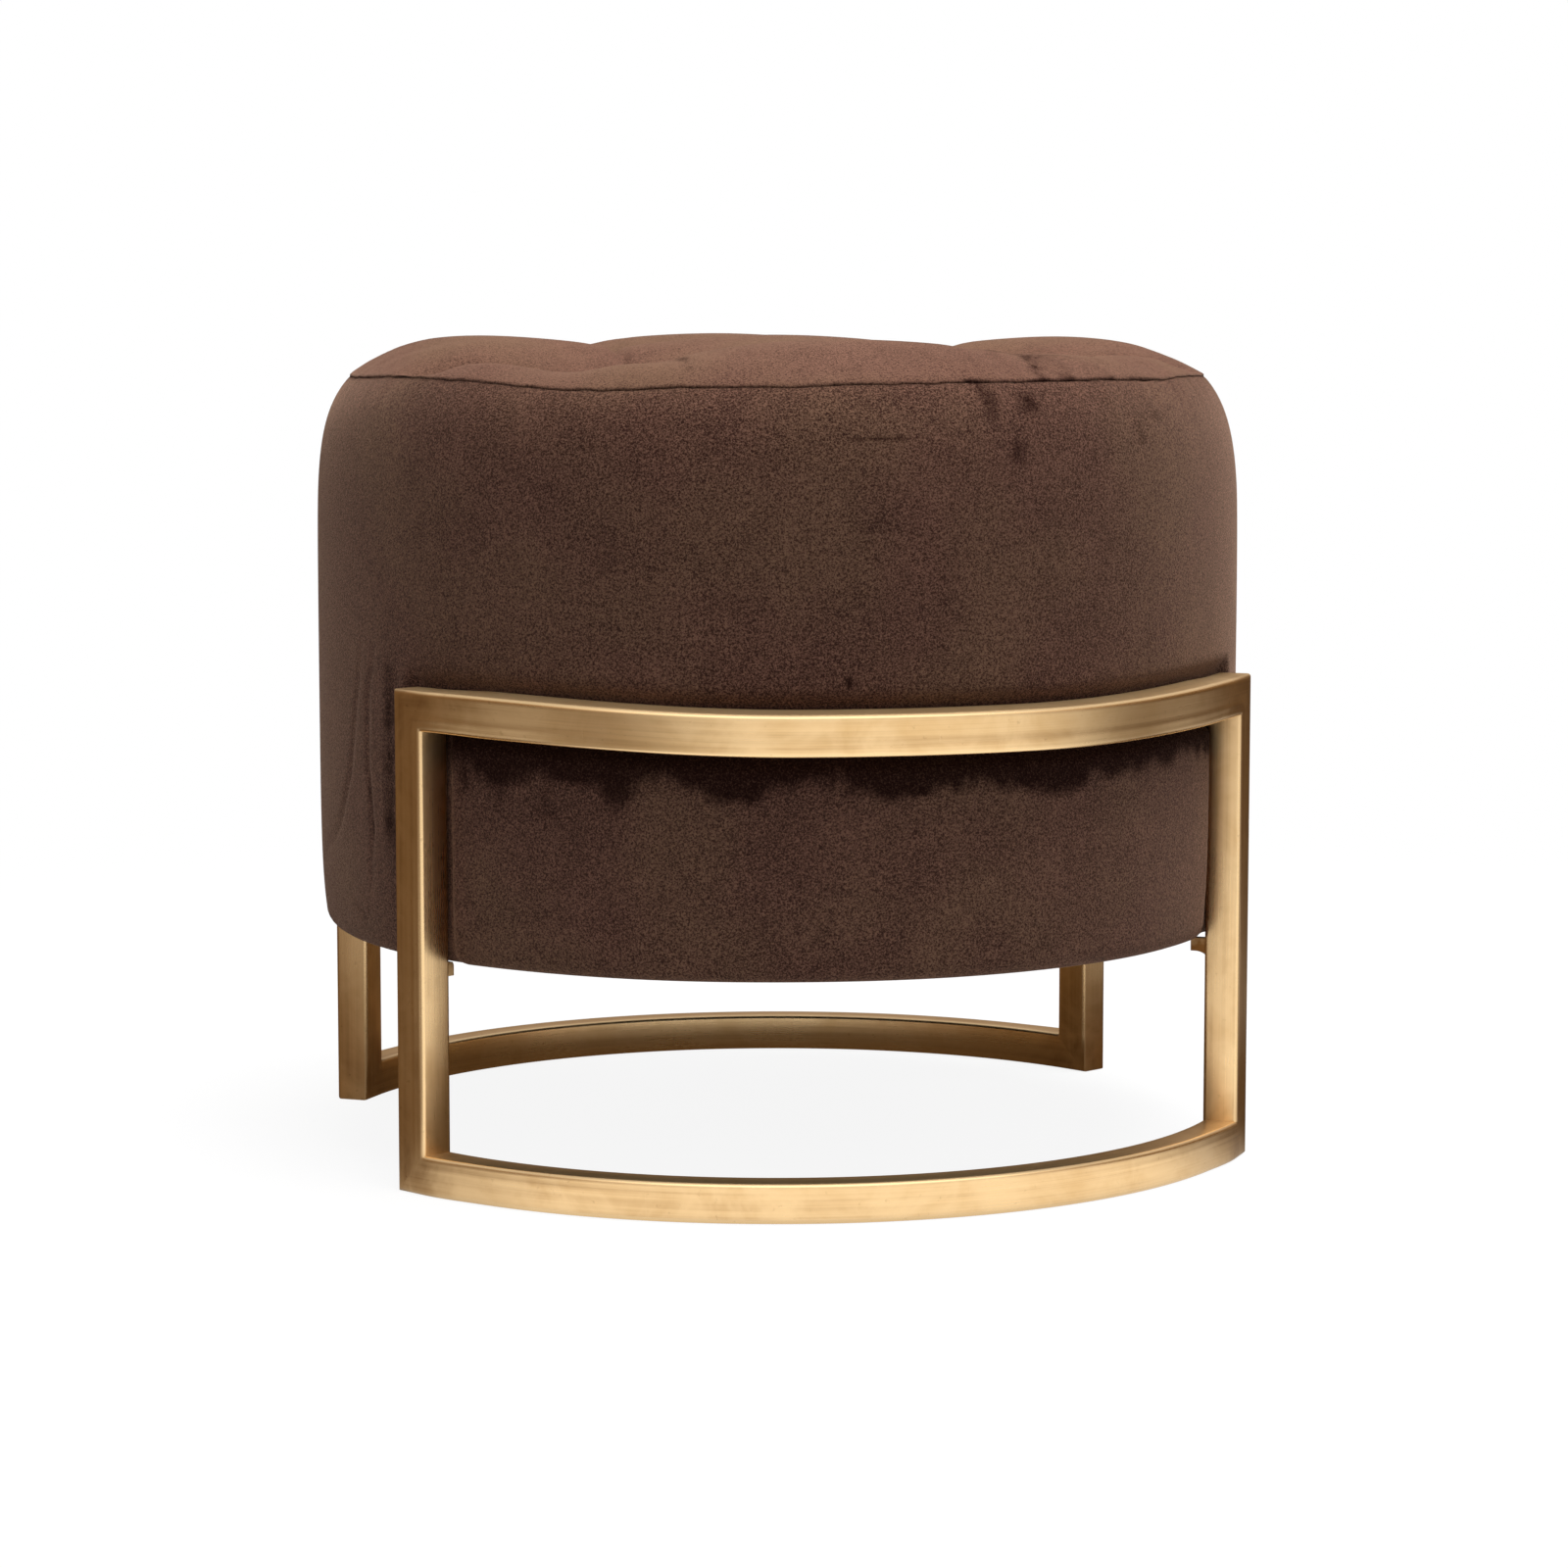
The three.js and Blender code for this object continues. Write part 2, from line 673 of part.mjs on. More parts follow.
// A tie that holds one tuft down: a knot caught under the velvet, a cord through the foam and a
// toggle under the top board. grow widens the same shape into its own clearance.
function tieGeometry(azimuth, grow) {
  const knot_high = tuft_height - velvet_thickness;
  const knot_low = knot_high - tie_knot_height;
  const toggle_high = top_board_bottom - fit_gap;
  const toggle_low = toggle_high - tie_toggle_height;
  const points = [
    new THREE.Vector2(0, toggle_low - grow),
    new THREE.Vector2(tie_toggle_radius + grow, toggle_low - grow),
    new THREE.Vector2(tie_toggle_radius + grow, toggle_high + grow),
    new THREE.Vector2(tie_radius + grow, toggle_high + grow),
    new THREE.Vector2(tie_radius + grow, knot_low - grow),
    new THREE.Vector2(tie_knot_radius + grow, knot_low - grow),
    new THREE.Vector2(tie_knot_radius + grow, knot_high + grow),
    new THREE.Vector2(0, knot_high + grow),
  ];
  return atTuft(turned(points, small_sides), azimuth);
}

// A place in the middle of one tuft for a shape that was made on the seat's axis.
function atTuft(geometry, azimuth) {
  const spot = planPoint(tuft_radius, azimuth);
  geometry.translate(spot.x, spot.y, 0);
  return geometry;
}

// The top board, with a way through for each tie.
function topBoard() {
  const ways = tuft_azimuths.map((azimuth) => {
    const way = rod(tie_radius + fit_gap, top_board_bottom - cut_overrun, top_board_top + cut_overrun);
    return atTuft(way, azimuth);
  });
  return cut(drumDisc(board_radius, top_board_bottom, top_board_top), ways);
}

// The thin cover that closes the drum underneath.
function dustCover() {
  const radius = underRoundRadius() - turned_hem + dust_cover_lap;
  const high = seat_underside_height - fit_gap;
  return drumDisc(radius, high - dust_cover_thickness, high);
}

// The upholstered drum and what it holds inside.
function drumGroup() {
  const group = new THREE.Group();
  const holes = drumBoltHoles();
  const tie_cuts = tuft_azimuths.map((azimuth) => tieGeometry(azimuth, fit_gap));
  const access_radius = board_radius - base_rim_width;
  const base_board = drumRing(access_radius, board_radius, base_board_bottom, base_board_top);
  const wall = drumRing(wall_inner, wall_outer, base_board_bottom, top_board_top);
  group.add(named('base_board', base_board, plywood));
  group.add(named('top_board', topBoard(), plywood));
  group.add(named('drum_wall', cut(wall, holes), plywood));
  group.add(named('side_foam', sideFoam(holes), foam));
  group.add(named('top_foam', topFoam(tie_cuts), foam));
  group.add(named('velvet_band', velvetBand(holes), velvet));
  group.add(named('velvet_top', topCover(), velvet));
  group.add(named('dust_cover', dustCover(), lining));
  tuft_azimuths.forEach((azimuth, index) => {
    group.add(named(`tuft_tie_${index + 1}`, tieGeometry(azimuth, 0), twine));
  });
  for (const [name, turn] of [['right_side_post', 0], ['left_side_post', half_turn]]) {
    const post = named(name, postGeometry(false), timber);
    post.rotation.z = turn;
    group.add(post);
  }
  return group;
}

const stool = new THREE.Group();
stool.add(frameGroup('front', 0, 'left', 'right'));
stool.add(frameGroup('rear', half_turn, 'right', 'left'));
stool.add(drumGroup());

export default stool;
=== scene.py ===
"""Looks of a round tufted stool: an upholstered drum held between two bent brass tube frames.

Metres, +Z up. The origin is on the floor under the middle of the seat, and -Y is the front. Azimuths
are measured round the seat from the front, towards +X.
"""

import logging
import math
from dataclasses import dataclass, field
from enum import Enum
from typing import Callable, Sequence

import bmesh
import bpy
import numpy as np
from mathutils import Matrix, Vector, kdtree


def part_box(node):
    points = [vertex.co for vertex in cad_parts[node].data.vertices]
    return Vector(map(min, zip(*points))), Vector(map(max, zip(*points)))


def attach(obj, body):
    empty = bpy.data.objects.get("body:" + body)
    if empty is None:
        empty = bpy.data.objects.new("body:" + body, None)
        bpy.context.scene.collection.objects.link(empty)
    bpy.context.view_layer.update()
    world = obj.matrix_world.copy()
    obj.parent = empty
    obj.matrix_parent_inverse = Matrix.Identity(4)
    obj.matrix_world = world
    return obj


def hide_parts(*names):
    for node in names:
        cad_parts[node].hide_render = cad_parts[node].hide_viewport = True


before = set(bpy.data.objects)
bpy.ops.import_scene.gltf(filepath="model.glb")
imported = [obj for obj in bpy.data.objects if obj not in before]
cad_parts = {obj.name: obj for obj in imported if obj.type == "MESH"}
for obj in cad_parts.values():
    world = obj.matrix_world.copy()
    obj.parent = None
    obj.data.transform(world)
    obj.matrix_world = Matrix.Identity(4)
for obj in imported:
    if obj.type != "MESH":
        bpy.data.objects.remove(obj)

MM = 0.001
TAU = 2 * math.pi
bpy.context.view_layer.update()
LOG = logging.getLogger("stool")
WHITE = (1.0, 1.0, 1.0, 1.0)


class Slot(Enum):
    """The record's material slots."""

    BRASS = "satin_brass"
    VELVET = "velvet"
    FOAM = "foam"
    PLYWOOD = "plywood"
    SOFTWOOD = "softwood"
    STEEL = "zinc_steel"
    LINING = "lining"
    TWINE = "twine"


class End(Enum):
    """The two frames, by the azimuth that their middle faces."""

    FRONT = 0.0
    REAR = math.pi


# Node trees


def operator(operation: str, swapped: bool = False) -> Callable:
    """Makes an operator of Value.

    Args:
        operation: the operation of the Math node that it adds.
        swapped: whether the other value comes first.

    Returns:
        The method.
    """
    def method(self: "Value", other: "Value | float") -> "Value":
        """The node's result."""
        return self.graph.math(operation, *((other, self) if swapped else (self, other)))

    return method


@dataclass(frozen=True)
class Value:
    """A socket that maths is written with."""

    graph: "Graph"
    socket: bpy.types.NodeSocket

    __add__, __radd__ = operator("ADD"), operator("ADD", True)
    __sub__, __rsub__ = operator("SUBTRACT"), operator("SUBTRACT", True)
    __mul__, __rmul__ = operator("MULTIPLY"), operator("MULTIPLY", True)
    __truediv__, __rtruediv__ = operator("DIVIDE"), operator("DIVIDE", True)

    def clamped(self) -> "Value":
        """The value held between 0 and 1."""
        return self.graph.math("ADD", self, 0.0, clamp=True)

    def over(self, low: float, high: float) -> "Value":
        """A smooth step from 0 where the value is low to 1 where it is high."""
        inputs = {"Value": self, "From Min": low, "From Max": high}
        return self.graph.value("ShaderNodeMapRange", "Result", {"interpolation_type": "SMOOTHSTEP"}, inputs)


class Graph:
    """A node tree under construction, of a material, a world or a Geometry Nodes group."""

    def __init__(self, tree: bpy.types.NodeTree) -> None:
        """Empties the tree that new nodes go to."""
        self.tree = tree
        tree.nodes.clear()

    def feed(self, socket: bpy.types.NodeSocket, value: object) -> None:
        """Links an output to a socket, or sets its number, colour or vector.

        Args:
            socket: the input.
            value: a Value, an output socket or what the input holds.
        """
        if isinstance(value, Value):
            value = value.socket
        if isinstance(value, bpy.types.NodeSocket):
            self.tree.links.new(value, socket)
        else:
            socket.default_value = value

    def node(self, kind: str, settings: dict | None = None, inputs: dict | None = None) -> bpy.types.Node:
        """Adds a node, sets its settings, then its inputs.

        Args:
            kind: the node's type name.
            settings: attributes of the node.
            inputs: what feeds each named or numbered input.

        Returns:
            The new node.
        """
        made = self.tree.nodes.new(kind)
        for name, value in (settings or {}).items():
            setattr(made, name, value)
        for name, value in (inputs or {}).items():
            self.feed(made.inputs[name], value)
        return made

    def value(self, kind: str, output: int | str = 0, settings: dict | None = None,
              inputs: dict | None = None) -> Value:
        """One output of a new node, ready for maths."""
        return Value(self, self.node(kind, settings, inputs).outputs[output])

    def math(self, operation: str, *values: "Value | float", clamp: bool = False) -> Value:
        """The result of a new Math node, held between 0 and 1 if clamp is set."""
        settings = {"operation": operation, "use_clamp": clamp}
        return self.value("ShaderNodeMath", 0, settings, dict(enumerate(values)))

    def vector(self, *parts: "Value | float") -> bpy.types.NodeSocket:
        """A vector of three parts."""
        return self.node("ShaderNodeCombineXYZ", {}, dict(enumerate(parts))).outputs[0]

    def parts(self, vector: bpy.types.NodeSocket) -> list[Value]:
        """The three parts of a vector."""
        return [Value(self, part) for part in self.node("ShaderNodeSeparateXYZ", {}, {0: vector}).outputs]

    def coordinates(self) -> bpy.types.NodeSocket:
        """The piece's own object coordinates."""
        return self.node("ShaderNodeTexCoord").outputs["Object"]

    def stretched(self, place: bpy.types.NodeSocket, scale: tuple) -> bpy.types.NodeSocket:
        """Coordinates scaled by one factor along each axis."""
        return self.node("ShaderNodeMapping", {}, {"Vector": place, "Scale": scale}).outputs["Vector"]

    def noise(self, place: bpy.types.NodeSocket, scale: float | tuple, detail: float = 2.0,
              rough: float = 0.5, distortion: float = 0.0) -> Value:
        """Adds a noise texture.

        Args:
            place: the coordinates.
            scale: features for each metre, for all axes or for each.
            detail: octaves.
            rough: how much each octave keeps.
            distortion: how far the noise is warped.

        Returns:
            The noise, about 0 to 1.
        """
        if isinstance(scale, tuple):
            place, scale = self.stretched(place, scale), 1.0
        inputs = {"Vector": place, "Scale": scale, "Detail": detail, "Roughness": rough, "Distortion": distortion}
        return self.value("ShaderNodeTexNoise", "Fac", {}, inputs)

    def attribute(self, name: str) -> Value:
        """A number stored on the piece's points."""
        return self.value("ShaderNodeAttribute", "Fac", {"attribute_name": name})

    def mixed(self, share: "Value | float", first: object, second: object) -> bpy.types.NodeSocket:
        """Mixes two colours, with a share of the second."""
        return self.node("ShaderNodeMix", {"data_type": "RGBA"}, {0: share, 6: first, 7: second}).outputs[2]

    def blended(self, share: "Value | float", first: object, second: object) -> bpy.types.NodeSocket:
        """Blends two surfaces, with a share of the second."""
        return self.node("ShaderNodeMixShader", {}, {0: share, 1: first, 2: second}).outputs[0]

    def glowing(self, colour: tuple, strength: float) -> bpy.types.NodeSocket:
        """A surface that gives light, where a strength of 1 is white."""
        return self.node("ShaderNodeEmission", {}, {"Color": colour, "Strength": strength}).outputs[0]

    def bump(self, height: Value, distance: float, strength: float = 1.0,
             below: bpy.types.NodeSocket | None = None) -> bpy.types.NodeSocket:
        """Adds a bump.

        Args:
            height: the height, 0 to 1.
            distance: how high 1 is, in metres.
            strength: how much of the bump is used.
            below: the normal that the bump lies on.

        Returns:
            The bumped normal.
        """
        inputs = {"Height": height, "Distance": distance, "Strength": strength}
        if below is not None:
            inputs["Normal"] = below
        return self.node("ShaderNodeBump", {}, inputs).outputs["Normal"]

    def principled(self, inputs: dict) -> bpy.types.NodeSocket:
        """A Principled surface."""
        return self.node("ShaderNodeBsdfPrincipled", {}, inputs).outputs["BSDF"]

    def finish(self, surface: bpy.types.NodeSocket) -> None:
        """Ends the material in a surface."""
        self.node("ShaderNodeOutputMaterial", {}, {"Surface": surface})


def new_material(name: str) -> tuple[bpy.types.Material, Graph, bpy.types.NodeSocket]:
    """Makes an empty node material.

    Args:
        name: the material's name.

    Returns:
        The material, its node tree and its object coordinates.
    """
    material = bpy.data.materials.new(name)
    material.use_nodes = True
    graph = Graph(material.node_tree)
    return material, graph, graph.coordinates()


def linear(red: float, green: float, blue: float) -> tuple[float, float, float, float]:
    """Turns a display colour of 0 to 255 into the linear colour that sockets take."""
    return (*(((part / 255 + 0.055) / 1.055) ** 2.4 for part in (red, green, blue)), 1.0)


# Finishes


@dataclass(frozen=True)
class Velvet:
    """Short pile velvet with mottled nap and grain: paler on the top as painted light, and darker where painted shade
    and painted shadow are laid in.
    """

    name: str = "velvet_pile"
    base: tuple = linear(38, 22, 17)
    pale: tuple = linear(99, 70, 58)
    olive: tuple = linear(96, 71, 56)
    # Colour of the darker surface that carries painted shade and painted shadow
    dark: tuple = linear(22, 8, 5)
    sheen: tuple = linear(208, 170, 145)
    sheen_weight: float = 0.36
    sheen_roughness: float = 0.4
    pile_scale: float = 1900.0
    pile_height: float = 0.3 * MM
    grain_scale: float = 1080.0
    grain_height: float = 0.5 * MM
    nap_scale: float = 13.0
    nap_height: float = 1.0 * MM
    patch_scale: float = 34.0
    smear_scale: float = 85.0
    smear_stretch: tuple = (1.0, 1.0, 0.5)

    def make(self) -> bpy.types.Material:
        """Builds the material, from one surface for the lit nap and one darker surface without sheen, which carries
        painted shade and painted shadow.

        Returns:
            The material.
        """
        material, graph, place = new_material(self.name)
        pile = graph.noise(place, self.pile_scale, 1.0, 0.6)
        grain = graph.noise(place, self.grain_scale, 2.0, 0.6, 0.5)
        nap = graph.noise(place, self.nap_scale, 2.0, 0.5)
        patch = graph.noise(place, self.patch_scale, 2.5, 0.55)
        smear = graph.noise(graph.stretched(place, self.smear_stretch), self.smear_scale, 3.0, 0.6)
        # Painted shade in the tufts, pleats, seam and creases, a painted shadow under the rail, and darker patches,
        # read from the points; with ragged edges, the strong part goes to the dark surface without sheen
        nap_and_painted_shade = graph.attribute("nap_and_painted_shade")
        ragged = ((patch - 0.5) * 1.1 + (smear - 0.5) * 1.3) * nap_and_painted_shade.over(0.02, 0.35)
        nap_and_shade_share = (nap_and_painted_shade + ragged).over(0.06, 0.85)
        mottled = (nap * 0.5 + patch * 0.3 + smear * 0.2).over(0.36, 0.64)
        # Painted light: the top cover is made paler than the side, as the top is lit more from above
        painted_top_light = graph.attribute("painted_top_light")
        fleck = ((grain - 0.5) * 2.6 + (pile - 0.5) * 1.4) * (1.3 - painted_top_light * 0.3)
        lying = graph.mixed(nap.over(0.35, 0.65), self.pale, self.olive)
        soft = (0.32 + mottled * 0.26 + painted_top_light * 0.3 + fleck).clamped()
        rounded = graph.bump(nap, self.nap_height, 0.25)
        normal = graph.bump(pile, self.pile_height, 0.6, graph.bump(grain, self.grain_height, 0.75, rounded))
        upright = graph.principled({
            "Base Color": graph.mixed(soft, self.base, lying),
            "Roughness": 0.92,
            "Specular IOR Level": 0.1,
            "Sheen Weight": self.sheen_weight,
            "Sheen Roughness": self.sheen_roughness,
            "Sheen Tint": self.sheen,
            "Normal": normal,
        })
        # Dark surface without sheen for the painted shade and painted shadow
        dark_nap_and_shade = graph.principled({
            "Base Color": graph.mixed((0.1 + fleck * 0.5).clamped(), self.dark, self.base),
            "Roughness": 0.95,
            "Specular IOR Level": 0.04,
            "Normal": normal,
        })
        graph.finish(graph.blended((nap_and_shade_share * 0.96 - fleck * 0.22).clamped(), upright, dark_nap_and_shade))
        return material


@dataclass(frozen=True)
class SatinBrass:
    """Brushed and lacquered brass plate: streaks along the tube, browner at the welds, bright edges."""

    name: str = "satin_brass_tube"
    metal: tuple = linear(234, 200, 150)
    dull: tuple = linear(208, 166, 108)
    tarnish: tuple = linear(132, 90, 48)
    streaks: tuple = (9.0, 1400.0, 1.0)
    wide_streaks: tuple = (4.0, 230.0, 1.0)
    smudge_scale: float = 26.0
    speck_scale: float = 310.0
    scratches: tuple = (900.0, 900.0, 60.0)
    roughness: float = 0.18
    streak_height: float = 0.03 * MM
    wide_height: float = 0.06 * MM

    def make(self) -> bpy.types.Material:
        """Builds the material.

        Returns:
            The material.
        """
        material, graph, place = new_material(self.name)
        along = graph.node("ShaderNodeUVMap", {"uv_map": "length"}).outputs["UV"]
        streak = graph.noise(along, self.streaks, 3.0, 0.6)
        wide = graph.noise(along, self.wide_streaks, 3.0, 0.6)
        smudge = graph.noise(place, self.smudge_scale, 4.0, 0.6, 0.4)
        speck = graph.noise(place, self.speck_scale, 2.0, 0.6).over(0.66, 0.78)
        rubs = graph.noise(place, self.scratches, 1.0).over(0.74, 0.8) * smudge.over(0.5, 0.62)
        weld, edge, dusty = (graph.attribute(name) for name in ("weld", "edge", "dusty"))
        worn = (smudge.over(0.4, 0.75) * 0.5 + wide * 0.25 - edge * 0.5 - rubs * 0.6).clamped()
        stained = (wide.over(0.4, 0.7) * 0.28 + streak.over(0.48, 0.75) * 0.16) * smudge.over(0.3, 0.62)
        aged = (weld * smudge.over(0.3, 0.6) * 0.35 + speck * 0.2 + stained * (1.0 - edge * 0.7)).clamped()
        rough = self.roughness + smudge * 0.12 + streak * 0.12 - edge * 0.04 + weld * 0.06 + rubs * 0.2
        wavy = graph.bump(wide, self.wide_height, 0.5)
        graph.finish(graph.principled({
            "Base Color": graph.mixed(aged, graph.mixed(worn, self.metal, self.dull), self.tarnish),
            "Metallic": 1.0 - dusty * 0.14,
            "Roughness": (rough + dusty * 0.12).clamped(),
            "Normal": graph.bump(streak, self.streak_height, 0.6, wavy),
        }))
        return material


@dataclass(frozen=True)
class Wood:
    """Wood with grain and a finer mark, such as plywood's layers or the lines of a saw."""

    name: str
    light: tuple
    dark: tuple
    grain: tuple
    grain_noise: tuple
    mark: tuple
    mark_detail: float
    mark_share: float
    roughness: float
    grain_strength: float
    is_sawn: bool

    def make(self) -> bpy.types.Material:
        """Builds the material.

        Returns:
            The material.
        """
        material, graph, place = new_material(self.name)
        grain = graph.noise(place, self.grain, *self.grain_noise)
        mark = graph.noise(place, self.mark, self.mark_detail)
        colour = (grain * (1 - self.mark_share) + mark * self.mark_share).over(0.3, 0.7)
        normal = graph.bump(grain, 0.2 * MM, self.grain_strength)
        graph.finish(graph.principled({
            "Base Color": graph.mixed(colour, self.light, self.dark),
            "Roughness": self.roughness + (mark * 0.1 if self.is_sawn else grain * 0.15),
            "Normal": graph.bump(mark, 0.15 * MM, 0.5, normal) if self.is_sawn else normal,
        }))
        return material


@dataclass(frozen=True)
class Foam:
    """Cut upholstery foam with open cells, yellowed in places."""

    name: str = "cut_foam"
    light: tuple = linear(236, 228, 200)
    dark: tuple = linear(206, 190, 148)
    cell_scale: float = 900.0
    age_scale: float = 14.0

    def make(self) -> bpy.types.Material:
        """Builds the material.

        Returns:
            The material.
        """
        material, graph, place = new_material(self.name)
        cell = graph.value("ShaderNodeTexVoronoi", "Distance", {}, {"Vector": place, "Scale": self.cell_scale})
        age = graph.noise(place, self.age_scale, 3.0)
        graph.finish(graph.principled({
            "Base Color": graph.mixed((age.over(0.35, 0.7) * 0.6 + cell * 0.4).clamped(), self.light, self.dark),
            "Roughness": 0.95 - cell * 0.05,
            "Normal": graph.bump(cell, 0.5 * MM, 0.7),
        }))
        return material


@dataclass(frozen=True)
class Lining:
    """Black spun lining: pressed fibres with a grid of tiny weld points."""

    name: str = "spun_lining"
    light: tuple = linear(46, 46, 47)
    dark: tuple = linear(16, 16, 17)
    fibre_scale: float = 420.0
    point_spacing: float = 1.6 * MM

    def make(self) -> bpy.types.Material:
        """Builds the material.

        Returns:
            The material.
        """
        material, graph, place = new_material(self.name)
        fibre = graph.noise(place, self.fibre_scale, 4.0, 0.7, 1.2)
        grid = {"Vector": place, "Scale": 1.0 / self.point_spacing, "Randomness": 0.0}
        point = 1.0 - graph.value("ShaderNodeTexVoronoi", "Distance", {}, grid).over(0.12, 0.3)
        graph.finish(graph.principled({
            "Base Color": graph.mixed((fibre.over(0.4, 0.7) - point * 0.4).clamped(), self.dark, self.light),
            "Roughness": 0.9 - point * 0.25,
            "Normal": graph.bump(fibre - point * 0.6, 0.2 * MM, 0.8),
        }))
        return material


@dataclass(frozen=True)
class Flecked:
    """A plain finish whose colour, roughness and bumps follow one noise."""

    name: str
    first: tuple
    second: tuple
    scale: tuple
    detail: float
    rough: float
    step: tuple
    metallic: float
    roughness: float
    height: float = 0.0
    strength: float = 0.0

    def make(self) -> bpy.types.Material:
        """Builds the material.

        Returns:
            The material.
        """
        material, graph, place = new_material(self.name)
        fleck = graph.noise(place, self.scale, self.detail, self.rough)
        inputs = {
            "Base Color": graph.mixed(fleck.over(*self.step), self.first, self.second),
            "Metallic": self.metallic,
            "Roughness": self.roughness + fleck * 0.2,
        }
        if self.height:
            inputs["Normal"] = graph.bump(fleck, self.height, self.strength)
        graph.finish(graph.principled(inputs))
        return material


FINISHES = {
    Slot.VELVET: Velvet(),
    Slot.BRASS: SatinBrass(),
    Slot.FOAM: Foam(),
    Slot.PLYWOOD: Wood(
        "birch_plywood", linear(214, 184, 138), linear(166, 126, 80), grain=(6.0, 90.0, 6.0),
        grain_noise=(4.0, 0.6, 0.6), mark=(1.0, 1.0, 500.0), mark_detail=0.0, mark_share=0.3,
        roughness=0.66, grain_strength=0.6, is_sawn=False),
    Slot.SOFTWOOD: Wood(
        "sawn_pine", linear(222, 192, 146), linear(182, 140, 92), grain=(160.0, 160.0, 5.0),
        grain_noise=(3.0, 0.6, 0.5), mark=(20.0, 20.0, 900.0), mark_detail=1.0, mark_share=0.0,
        roughness=0.72, grain_strength=0.5, is_sawn=True),
    Slot.STEEL: Flecked(
        "zinc_plated_steel", linear(200, 203, 206), linear(150, 153, 150), scale=(240.0,) * 3, detail=3.0,
        rough=0.6, step=(0.35, 0.7), metallic=1.0, roughness=0.28, height=0.05 * MM, strength=0.5),
    Slot.LINING: Lining(),
    Slot.TWINE: Flecked(
        "waxed_twine", linear(44, 28, 20), linear(96, 70, 54), scale=(700.0, 700.0, 260.0), detail=2.0,
        rough=0.5, step=(0.35, 0.65), metallic=0.0, roughness=0.7, height=0.2 * MM, strength=0.6),
}

STAPLE_WIRE = Flecked(
    "staple_wire", linear(190, 192, 194), linear(120, 122, 124), scale=(300.0,) * 3, detail=2.0,
    rough=0.5, step=(0.4, 0.7), metallic=1.0, roughness=0.3)


# Mesh building


def mesh_object(name: str, points: np.ndarray, faces: Sequence[Sequence[int]]) -> bpy.types.Object:
    """Makes a smooth mesh object at the origin.

    Args:
        name: the object's name.
        points: the vertices, one row each.
        faces: vertex numbers of each face.

    Returns:
        The object, linked to the scene.
    """
    mesh = bpy.data.meshes.new(name)
    mesh.from_pydata([tuple(point) for point in points], [], [tuple(face) for face in faces])
    mesh.validate()
    mesh.shade_smooth()
    made = bpy.data.objects.new(name, mesh)
    bpy.context.scene.collection.objects.link(made)
    return made


def strip(first: int, second: int, columns: int) -> list[list[int]]:
    """Faces between two rounds of points.

    Args:
        first: the number of the first round's first point.
        second: the same of the second round.
        columns: how many points a round has.

    Returns:
        The faces.
    """
    column = np.arange(columns)
    beside = (column + 1) % columns
    return np.stack([first + column, second + column, second + beside, first + beside], 1).tolist()


def fan(tip: int, first: int, columns: int) -> list[list[int]]:
    """Faces between one point and the round whose first point is numbered first."""
    return [[tip, first + column, first + (column + 1) % columns] for column in range(columns)]


def skin(name: str, rows: np.ndarray, poles: bool) -> bpy.types.Object:
    """Makes a closed skin from rows of points that go round the seat's axis.

    Args:
        name: the object's name.
        rows: points as row, column and coordinate. Columns go towards +X from the front.
        poles: whether the first and last rows are each one point on the axis. If not, the last row
            joins the first.

    Returns:
        The object.
    """
    count, columns = rows.shape[:2]
    if not poles:
        faces = [face for row in range(count)
                 for face in strip(row * columns, (row + 1) % count * columns, columns)]
        return mesh_object(name, rows.reshape(-1, 3), faces)
    points = np.concatenate([rows[0, :1], rows[1:-1].reshape(-1, 3), rows[-1, :1]])
    faces = fan(0, 1, columns)
    for row in range(count - 3):
        faces += strip(1 + row * columns, 1 + (row + 1) * columns, columns)
    last = 1 + (count - 3) * columns
    faces += [[here, tip, beside] for tip, here, beside in fan(len(points) - 1, last, columns)]
    return mesh_object(name, points, faces)


def set_attribute(made: bpy.types.Object, name: str, values: np.ndarray) -> None:
    """Stores a number on each point of a mesh."""
    layer = made.data.attributes.new(name, "FLOAT", "POINT")
    layer.data.foreach_set("value", np.asarray(values, dtype=np.float32))


def lay_out(made: bpy.types.Object, places: np.ndarray) -> None:
    """Gives a mesh the UV map that the brass is brushed along, with one place for each corner."""
    layer = made.data.uv_layers.new(name="length")
    layer.data.foreach_set("uv", np.asarray(places, dtype=np.float32).ravel())


def mesh_points(mesh: bpy.types.Mesh) -> np.ndarray:
    """The vertices of a mesh, one row each.

    Args:
        mesh: the mesh.

    Returns:
        Its points.
    """
    points = np.empty(len(mesh.vertices) * 3)
    mesh.vertices.foreach_get("co", points)
    return points.reshape(-1, 3)


def replace_by_result(made: bpy.types.Object) -> bpy.types.Object:
    """Makes the modifiers' result an object's own mesh, and removes the modifiers.

    Args:
        made: an object with modifiers.

    Returns:
        The same object.
    """
    evaluated = made.evaluated_get(bpy.context.evaluated_depsgraph_get())
    result = bpy.data.meshes.new_from_object(evaluated)
    made.modifiers.clear()
    made.data = result
    return made


def finish_piece(made: bpy.types.Object, material: bpy.types.Material, slot: Slot, *nodes: str) -> None:
    """Gives a piece its material, its place in the model and the nodes that it stands for.

    Args:
        made: the piece.
        material: its finish.
        slot: the record's material slot; not used.
        nodes: the nodes that it replaces.
    """
    made.data.materials.clear()
    made.data.materials.append(material)
    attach(made, "root")
    if nodes:
        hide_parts(*nodes)
    LOG.info("%s: %d faces", made.name, len(made.data.polygons))


# Places and shapes


